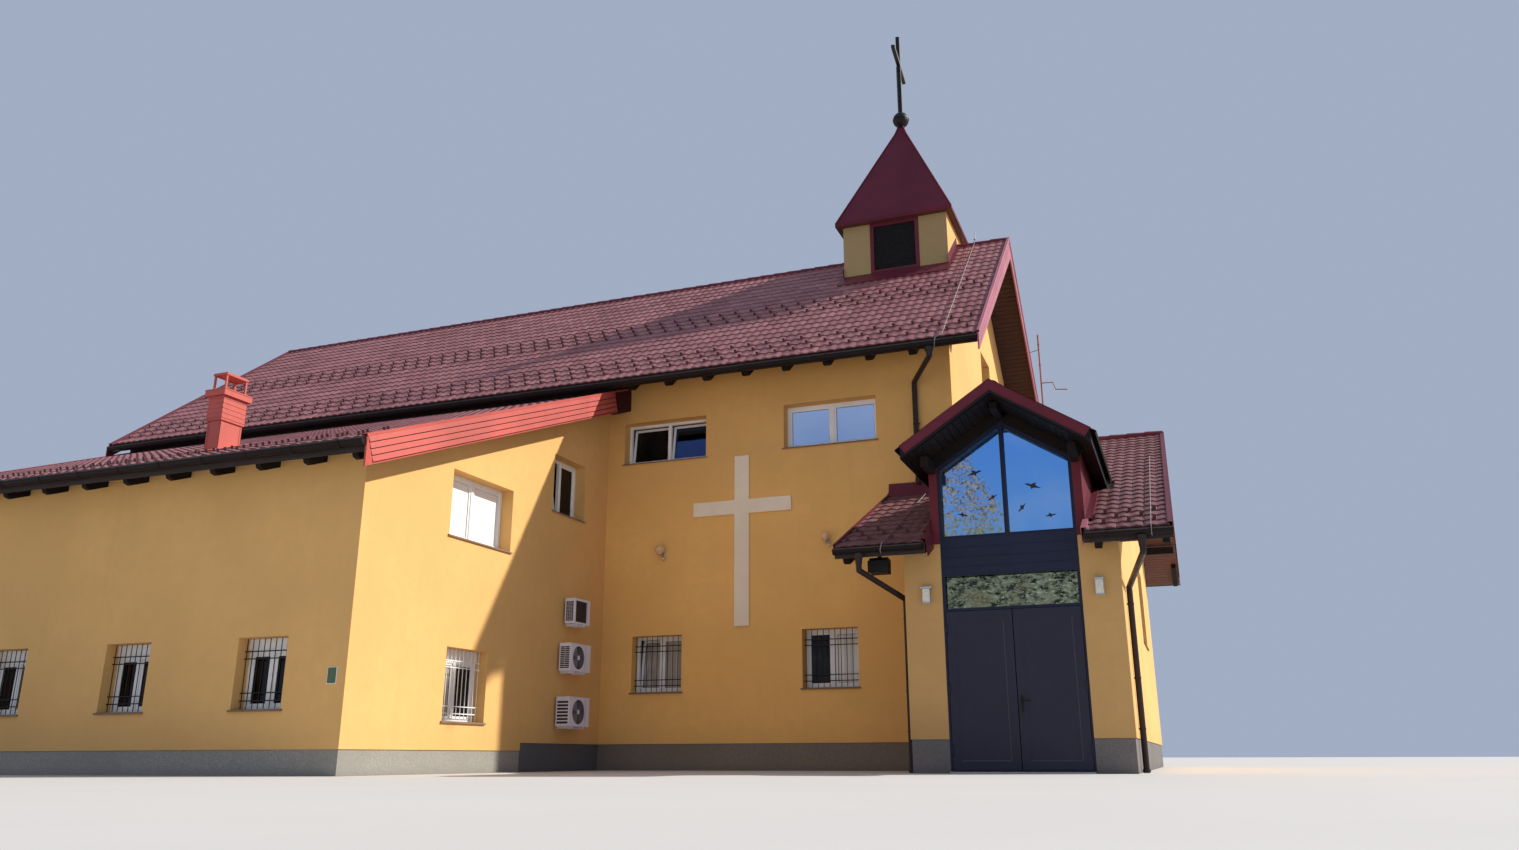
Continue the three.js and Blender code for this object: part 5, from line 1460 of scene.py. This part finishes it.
# On the wide wing window the flat white blinds and pale seals also give the sun's glare on the glass: painted
# glare
window("wing_window_wide", WING_EAST_WALL, *WIDE, (white_blind, white_blind), "window_wing_upper_wide",
       seal=glare_seal_finish)
window("wing_window_small", WING_EAST_WALL, *SMALL, DARK, "window_wing_upper_small", tilt=(0,))
window("wing_window_lower", WING_EAST_WALL, *LOWER, (curtain, black_pane), "window_wing_lower", shutter=0.16,
       bars=SUNLIT_WHITE_BARS)
for i, x in enumerate((-1.985, -4.585, -7.185, -9.785)):
    window(f"wing_front_window_{i + 1}", WING_FRONT_WALL, (x, x + 0.905), (0.895, 1.915), DARK,
           None if i else "glass_wing_front", shutter=0.16, bars=SHADED_DARK_BARS)
for i, x in enumerate((5.0, 1.4, -2.2, -5.8, -9.4)):
    window(f"back_window_upper_{i + 1}", HALL_BACK_WALL, (x - 0.92, x + 0.92), (6.05, 6.92), DARK,
           None if i else "glass_back_upper")
    window(f"back_window_lower_{i + 1}", HALL_BACK_WALL, (x - 0.535, x + 0.535), (1.44, 2.52), DARK,
           None if i else "glass_back_lower", bars=SHADED_DARK_BARS)
window("gable_window", HALL_EAST_WALL, (3.787, 4.947), (8.0, 8.95), DARK, "glass_hall_gable")
window("entrance_side_window", ENTRY_EAST_WALL, (3.4, 5.4), (2.4, 3.95), DARK, "glass_entrance_side")
window("west_window_wide", WING_WEST_WALL, *WIDE, DARK, "glass_wing_west_upper")
window("west_window_small", WING_WEST_WALL, *SMALL, DARK)
window("west_window_lower", WING_WEST_WALL, *LOWER, DARK, "glass_wing_west_lower", bars=SUNLIT_WHITE_BARS)
sills.make("window_sills", [sill_finish], bevel=0.003)
grilles.make("window_grilles", [frame_finish, iron_finish])


# Portal: beads round the panes and fields, a seam across the panel, and bird shapes on the glass

PANE_X = (7.524, 9.496)
PANE_FOOT = 3.498
PANE_APEX = 5.197
PANE_PITCH = (PANE_APEX - 4.561) / (HOOD["mid"] - PANE_X[0])
BEAD = 0.014
BEAD_Y = -2.983
SEAM_X = (7.49, 9.53)
SEAM_Y = (-2.986, -2.9805)
portal = Shape()


def beads(path):
    """A slim bar on each side of a field of the frame."""
    for start, end in zip(path, path[1:] + path[:1]):
        up = (0, 0, 1) if abs(end[0] - start[0]) > 0.01 else (1, 0, 0)
        portal.beam((start[0], BEAD_Y, start[1]), (end[0], BEAD_Y, end[1]), 0.008, BEAD, up)


for left, right in ((PANE_X[0], HOOD["mid"] - 0.022), (HOOD["mid"] + 0.022, PANE_X[1])):
    top_left, top_right = (PANE_APEX - abs(x - HOOD["mid"]) * PANE_PITCH for x in (left, right))
    beads([(left, PANE_FOOT), (right, PANE_FOOT), (right, top_right), (left, top_left)])
beads([(7.52, 2.385), (9.50, 2.385), (9.50, 2.885), (7.52, 2.885)])
for z in ((3.017, 3.023), (3.167, 3.173), (3.318, 3.324), (3.470, 3.482)):
    portal.box(SEAM_X, SEAM_Y, z)
portal.box((7.50, 9.52), (-3.02, -2.9), (0.031, 0.039))
portal.make("portal_beads", [panel_finish])

threshold = Shape()
threshold.prism("X", (7.485, 9.535),
                [(-3.10, 0.0), (-2.985, 0.0), (-2.985, 0.030), (-3.06, 0.030), (-3.10, 0.018)])
threshold.make("door_threshold", [steel_finish], bevel=0.002)

LEAF_DARK, LEAF_LIT, LEAF_IRON = range(3)
FIELD_Z = (0.17, 2.215)
LEVER_X = 8.572
BEVEL_STRIP = ((-0.004, -2.9805), (-0.004, -2.984), (0.016, -2.974), (0.016, -2.9725))
for side, along, body in (("left", (7.518, 8.504), "left_door"), ("right", (8.516, 9.502), "right_door")):
    leaf = Shape()
    field = inset(along, 0.13)
    # Bevel strips that face one way take the paler coat as painted highlight
    for x, z, out in ((field[0], FIELD_Z[0], 1), (field[1], FIELD_Z[1], -1)):
        leaf.prism("Z", FIELD_Z, [(x + out * across, y) for across, y in BEVEL_STRIP],
                   LEAF_LIT if out < 0 else LEAF_DARK)
        leaf.prism("X", field, [(y, z + out * across) for across, y in BEVEL_STRIP],
                   LEAF_LIT if out > 0 else LEAF_DARK)
    leaf.box(inset(along, 0.02), (-2.984, -2.9805), (0.046, 0.12))
    if side == "right":
        rose = [(0.011, 0.001), (0.022, 0.001), (0.020, -0.008), (0.011, -0.008)]
        leaf.collar((LEVER_X, -2.992, 1.01), rose, "Y", finish=LEAF_IRON)
        leaf.turned((LEVER_X, -2.9905, 0.925), [(0.009, 0), (0.009, -0.004), (0.006, -0.006)],
                    "Y", finish=LEAF_IRON)
    leaf.make(f"leaf_trim_{side}", [door_finish, door_light_finish, iron_finish], body=body)

# Plain flying shapes cut from film, on the face of the glass
BIRD = [(-1.0, 0.06), (-0.62, 0.20), (-0.25, 0.12), (0.0, 0.34), (0.30, 0.42), (0.22, 0.16), (0.55, 0.02),
        (1.0, -0.10), (0.45, -0.16), (0.10, -0.20), (-0.12, -0.42), (-0.22, -0.14), (-0.60, -0.04)]
birds = Shape()
for x, z, size, turn, flip in (
    (8.06, 4.49, 0.125, 10, -1), (8.32, 4.08, 0.09, 35, 1), (8.94, 4.21, 0.135, -15, 1),
    (7.84, 3.84, 0.09, -20, -1), (8.755, 3.886, 0.095, 55, 1), (9.17, 3.735, 0.09, 0, -1),
    (7.914, 2.753, 0.085, 30, 1), (8.521, 2.674, 0.12, 45, 1),
):
    cos, sin = size * math.cos(math.radians(turn)), size * math.sin(math.radians(turn))
    outline = [(x + u * flip * cos - v * sin, z + u * flip * sin + v * cos) for u, v in BIRD]
    birds.prism("Y", (-2.9120, -2.9104), outline)
birds.make("glass_birds", [seal_finish])


# Lamps

lamps = Shape()
OPAL, LAMP_METAL, GLOBE = range(3)


def ball(centre, radius, sides=20, rings=10):
    turns = [math.pi * k / rings for k in range(rings + 1)]
    profile = [(max(radius * math.sin(t), 0.001), -radius * math.cos(t)) for t in turns]
    lamps.turned(centre, profile, sides=sides, finish=GLOBE)


# Globes on arms, each with a small one below
GLOBE_Y = -0.13
for x, z in ((1.295, 4.192), (4.732, 4.228)):
    foot = x + 0.03
    rose = [(0.05, 0), (0.05, -0.018), (0.035, -0.028)]
    lamps.turned((foot, -0.0005, z - 0.10), rose, "Y", finish=LAMP_METAL)
    lamps.tube([(foot, -0.02, z - 0.10), (x + 0.015, -0.10, z - 0.13), (x, GLOBE_Y, z - 0.12),
                (x, GLOBE_Y, z - 0.085)], 0.010, 8, LAMP_METAL)
    cup = [(0.012, -0.012), (0.045, -0.008), (0.048, 0.012), (0.012, 0.012)]
    lamps.collar((x, GLOBE_Y, z - 0.088), cup, finish=LAMP_METAL)
    ball((x, GLOBE_Y, z), 0.092)
    lamps.tube([(foot, -0.02, z - 0.13), (x + 0.055, -0.07, z - 0.165)], 0.008, 8, LAMP_METAL)
    ball((x + 0.06, -0.085, z - 0.18), 0.036, 14, 8)

# Lanterns beside the portal: a back plate, opal glass, cap, foot and two edge bars
for x, cap in ((7.245, 0.090), (9.80, 0.068)):
    for half, y, z, finish in (
        (0.065, (-3.018, -3.0005), (2.475, 2.745), LAMP_METAL),
        (0.055, (-3.085, -3.018), (2.50, 2.70), OPAL),
        (cap, (-3.095, -3.018), (2.70, 2.735), LAMP_METAL),
        (0.060, (-3.088, -3.018), (2.485, 2.50), LAMP_METAL),
    ):
        lamps.box((x - half, x + half), y, z, finish)
    for edge in (x - 0.0585, x + 0.0585):
        lamps.box((edge - 0.0035, edge + 0.0035), (-3.089, -3.0185), (2.50, 2.70), LAMP_METAL)
lamps.make("wall_lamps", [lamp_glass, steel_finish, globe_finish], bevel=0.002)

FLOOD_Y = -3.06
flood = Shape()
flood_z = entry_top(FLOOD_Y) - ENTRY["thick"] - 0.022
flood.box((6.50, 6.56), (FLOOD_Y - 0.02, FLOOD_Y + 0.02), (3.20, flood_z))
flood.prism("X", (6.38, 6.68), [(-3.18, 2.99), (-2.95, 2.97), (-2.95, 3.20), (-3.12, 3.22), (-3.18, 3.16)])
flood.box((6.365, 6.695), (-3.19, -3.18), (2.98, 3.17))
for i in range(7):
    x = 6.40 + 0.042 * i
    flood.box((x, x + 0.008), (-2.9495, -2.925), (2.99, 3.18))
flood.make("eave_lamp", [iron_finish], bevel=0.004)

# Bare plaque on the wing front
plaque = Shape()
plaque.box((-0.31, -0.15), (-7.282, -7.2705), (1.22, 1.45))
plaque.box((-0.303, -0.157), (-7.284, -7.282), (1.227, 1.443), 1)
for x in (-0.295, -0.165):
    for z in (1.235, 1.435):
        plaque.turned((x, -7.284, z), [(0.005, 0), (0.005, -0.002), (0.003, -0.0035)], "Y", 12, 2)
plaque.make("wall_plaque", [frame_finish, plaque_finish, steel_finish])


# Cooling units: grilles before the fans, slotted ends, seams, lids and pipes

coolers = Shape()
CASE, FAN_DARK, FAN_MID, FAN_PAINTED_LIGHT, RING, SLOT_SHADE = range(6)
CASE_BACK = 0.06
PIPE_X = 0.20


def arc(fan_y, fan_z, radius, turns):
    return [(fan_y + radius * math.cos(t), fan_z + radius * math.sin(t)) for t in turns]


def ringed_grille(face, fan_y, fan_z, radius):
    """A fan of four blades, paler on its far side as painted light, behind rings and spokes."""
    disc = [(radius - 0.002, 0), (radius - 0.002, 0.001)]
    # A near black disc at the back of the fan's well is painted shade
    coolers.turned((face - 0.0118, fan_y, fan_z), disc, "X", 32, FAN_DARK)
    for k in range(4):
        turns = [math.pi * (k / 2 + 0.10 + 0.34 * step / 6) for step in range(7)]
        outline = arc(fan_y, fan_z, radius * 0.92, turns) + arc(fan_y, fan_z, 0.04, turns)[::-1]
        finish = FAN_PAINTED_LIGHT if math.cos(turns[3]) < 0 else FAN_MID
        coolers.prism("X", (face - 0.0105, face - 0.0095), outline, finish)
    for k in range(1, 9):
        low, high = radius * k / 8.2 - 0.0015, radius * k / 8.2 + 0.0015
        profile = [(low, -0.003), (high, -0.003), (high, 0.003), (low, 0.003)]
        coolers.collar((face - 0.003, fan_y, fan_z), profile, "X", 32, RING)
    centre = Vector((face - 0.0073, fan_y, fan_z))
    for k in range(8):
        turn = math.pi * k / 8
        way = Vector((0, math.cos(turn), math.sin(turn))) * (radius - 0.004)
        coolers.beam(centre - way, centre + way, 0.003, 0.002, up=(1, 0, 0), finish=RING)
    coolers.turned((face - 0.006, fan_y, fan_z), [(0.042, 0), (0.042, 0.008), (0.030, 0.010)], "X", 24, CASE)


def barred_grille(face, fan_y, fan_z, radius):
    """Level bars with a few upright ones over a dark field, painted shade of the opening behind."""
    wide = radius * 1.05
    field = (fan_y - wide + 0.002, fan_y + wide - 0.002)
    rise = (fan_z - radius, fan_z + radius)
    coolers.box((face - 0.0115, face - 0.0105), field, inset(rise, 0.002), SLOT_SHADE)
    for k in range(13):
        z = rise[0] + 2 * radius * (k + 0.5) / 13
        coolers.box((face - 0.010, face - 0.003), field, (z - 0.003, z + 0.003), FAN_DARK)
    for k in range(5):
        y = fan_y - wide + 2 * wide * (k + 0.5) / 5
        coolers.box((face - 0.0025, face + 0.001), (y - 0.002, y + 0.002), rise, FAN_DARK)


def slotted_end(y, z, x, columns, rows, filled):
    """Dark slots in the end of a case, painted shade of the openings; filled is the share of each row that a
    slot takes.
    """
    pitch_x = (x[1] - x[0] - 0.04) / columns
    pitch_z = (z[1] - z[0] - 0.09) / rows
    for column in range(columns):
        left = x[0] + 0.02 + pitch_x * column
        for row in range(rows):
            foot = z[0] + 0.045 + pitch_z * row
            coolers.box((left + 0.004, left + pitch_x - 0.004), (y - 0.003, y - 0.0005),
                        (foot, foot + pitch_z * filled), SLOT_SHADE)


for front, y, z, fan_y, fan_grille, columns, rows, filled in (
    (0.260, (-1.575, -0.985), (2.64, 3.10), -1.312, barred_grille, 4, 14, 0.78),
    (0.295, (-1.705, -0.96), (1.765, 2.258), -1.405, ringed_grille, 2, 12, 0.7),
    (0.335, (-1.735, -1.0), (0.78, 1.29), -1.402, ringed_grille, 1, 7, 0.62),
):
    radius = (z[1] - z[0]) * 0.43
    fan_grille(front, fan_y, (z[0] + z[1]) / 2, radius)
    slotted_end(y[0], z, (CASE_BACK, front), columns, rows, filled)
    seam_y = fan_y + radius + 0.03
    coolers.box((front + 0.0003, front + 0.002), (seam_y, seam_y + 0.004), inset(z, 0.01), RING)
    coolers.box((CASE_BACK - 0.004, front + 0.004), (y[0] - 0.005, y[1] + 0.005),
                (z[1] + 0.0005, z[1] + 0.010), CASE)
    pipe_y = y[1] + 0.07
    for rise in (z[0] + 0.10, z[0] + 0.16):
        coolers.tube([(PIPE_X, y[1] + 0.002, rise), (PIPE_X, y[1] + 0.05, rise), (0.15, pipe_y, rise + 0.01),
                      (0.06, pipe_y, rise + 0.03), (0.0, pipe_y, rise + 0.03)], 0.016, 10, CASE)
coolers.make("cooler_fittings", [cooler_finish, fan_dark_finish, fan_mid_finish, fan_lit_blade_finish, ring_finish,
                                 slot_shade_finish])

# Aerial mast on the ridge line behind the portal
MAST_X = 8.45
mast = Shape()
for radius, sides, path in (
    (0.018, 10, ((0, 6.76), (0, 8.3), (0, 9.38))),
    (0.012, 8, ((0, 8.23), (0.25, 8.22), (0.30, 8.05), (0.55, 8.02))),
    (0.008, 8, ((-0.22, 8.98), (0, 9.02))),
):
    mast.tube([(MAST_X + aside, RIDGE_Y, z) for aside, z in path], radius, sides)
mast.collar((MAST_X, RIDGE_Y, 6.93), [(0.019, -0.04), (0.08, -0.04), (0.03, 0.05), (0.019, 0.05)])
for z in (8.66, 9.15):
    mast.collar((MAST_X, RIDGE_Y, z), [(0.0185, -0.012), (0.026, -0.012), (0.026, 0.012), (0.0185, 0.012)])
mast.make("aerial_mast", [mast_finish])


# Stage: floor, light and camera

def placed(name, data):
    """A new object of the scene."""
    made = bpy.data.objects.new(name, data)
    bpy.context.scene.collection.objects.link(made)
    return made


floor_mesh = bpy.data.meshes.new("floor")
floor_corners = [(x * FLOOR_REACH, y * FLOOR_REACH, -0.002) for x, y in ((-1, -1), (1, -1), (1, 1), (-1, 1))]
floor_mesh.from_pydata(floor_corners, [], [(0, 1, 2, 3)])
floor_paint = Paint("floor_paint", Roughness=0.9)
floor_tone = floor_paint.vary(floor_paint.noise(0.4, 4), 0.3, 0.7, FLOOR_TONE, 0.97)
floor_mesh.materials.append(floor_paint.done(floor_tone))
floor = placed("floor", floor_mesh)
floor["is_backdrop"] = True

world = bpy.data.worlds.new("studio")
bpy.context.scene.world = world
world.use_nodes = True
world.node_tree.nodes["Background"].inputs["Color"].default_value = SKY_TONE
world.node_tree.nodes["Background"].inputs["Strength"].default_value = 1.0

sun_data = bpy.data.lights.new("key", "SUN")
sun_data.energy = SUN_STRENGTH
sun_data.angle = math.radians(SUN_WIDTH)
sun_data.color = SUN_TONE
sun = placed("key", sun_data)
sun.rotation_euler = Vector(SUN_WAY).to_track_quat("-Z", "Y").to_euler()

camera_data = bpy.data.cameras.new("camera")
camera_data.sensor_width = 36
camera_data.lens = LENS
camera_data.clip_end = 1000
camera = placed("camera", camera_data)
turn = Matrix.Rotation(math.radians(YAW), 4, "Z") @ Matrix.Rotation(math.radians(90 + PITCH), 4, "X")
turn = turn @ Matrix.Rotation(math.radians(ROLL), 4, "Z")
camera.matrix_world = Matrix.Translation(Vector(CAMERA_PLACE) + ORIGIN) @ turn
bpy.context.scene.camera = camera
bpy.context.scene.view_settings.view_transform = "Standard"

low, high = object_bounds()
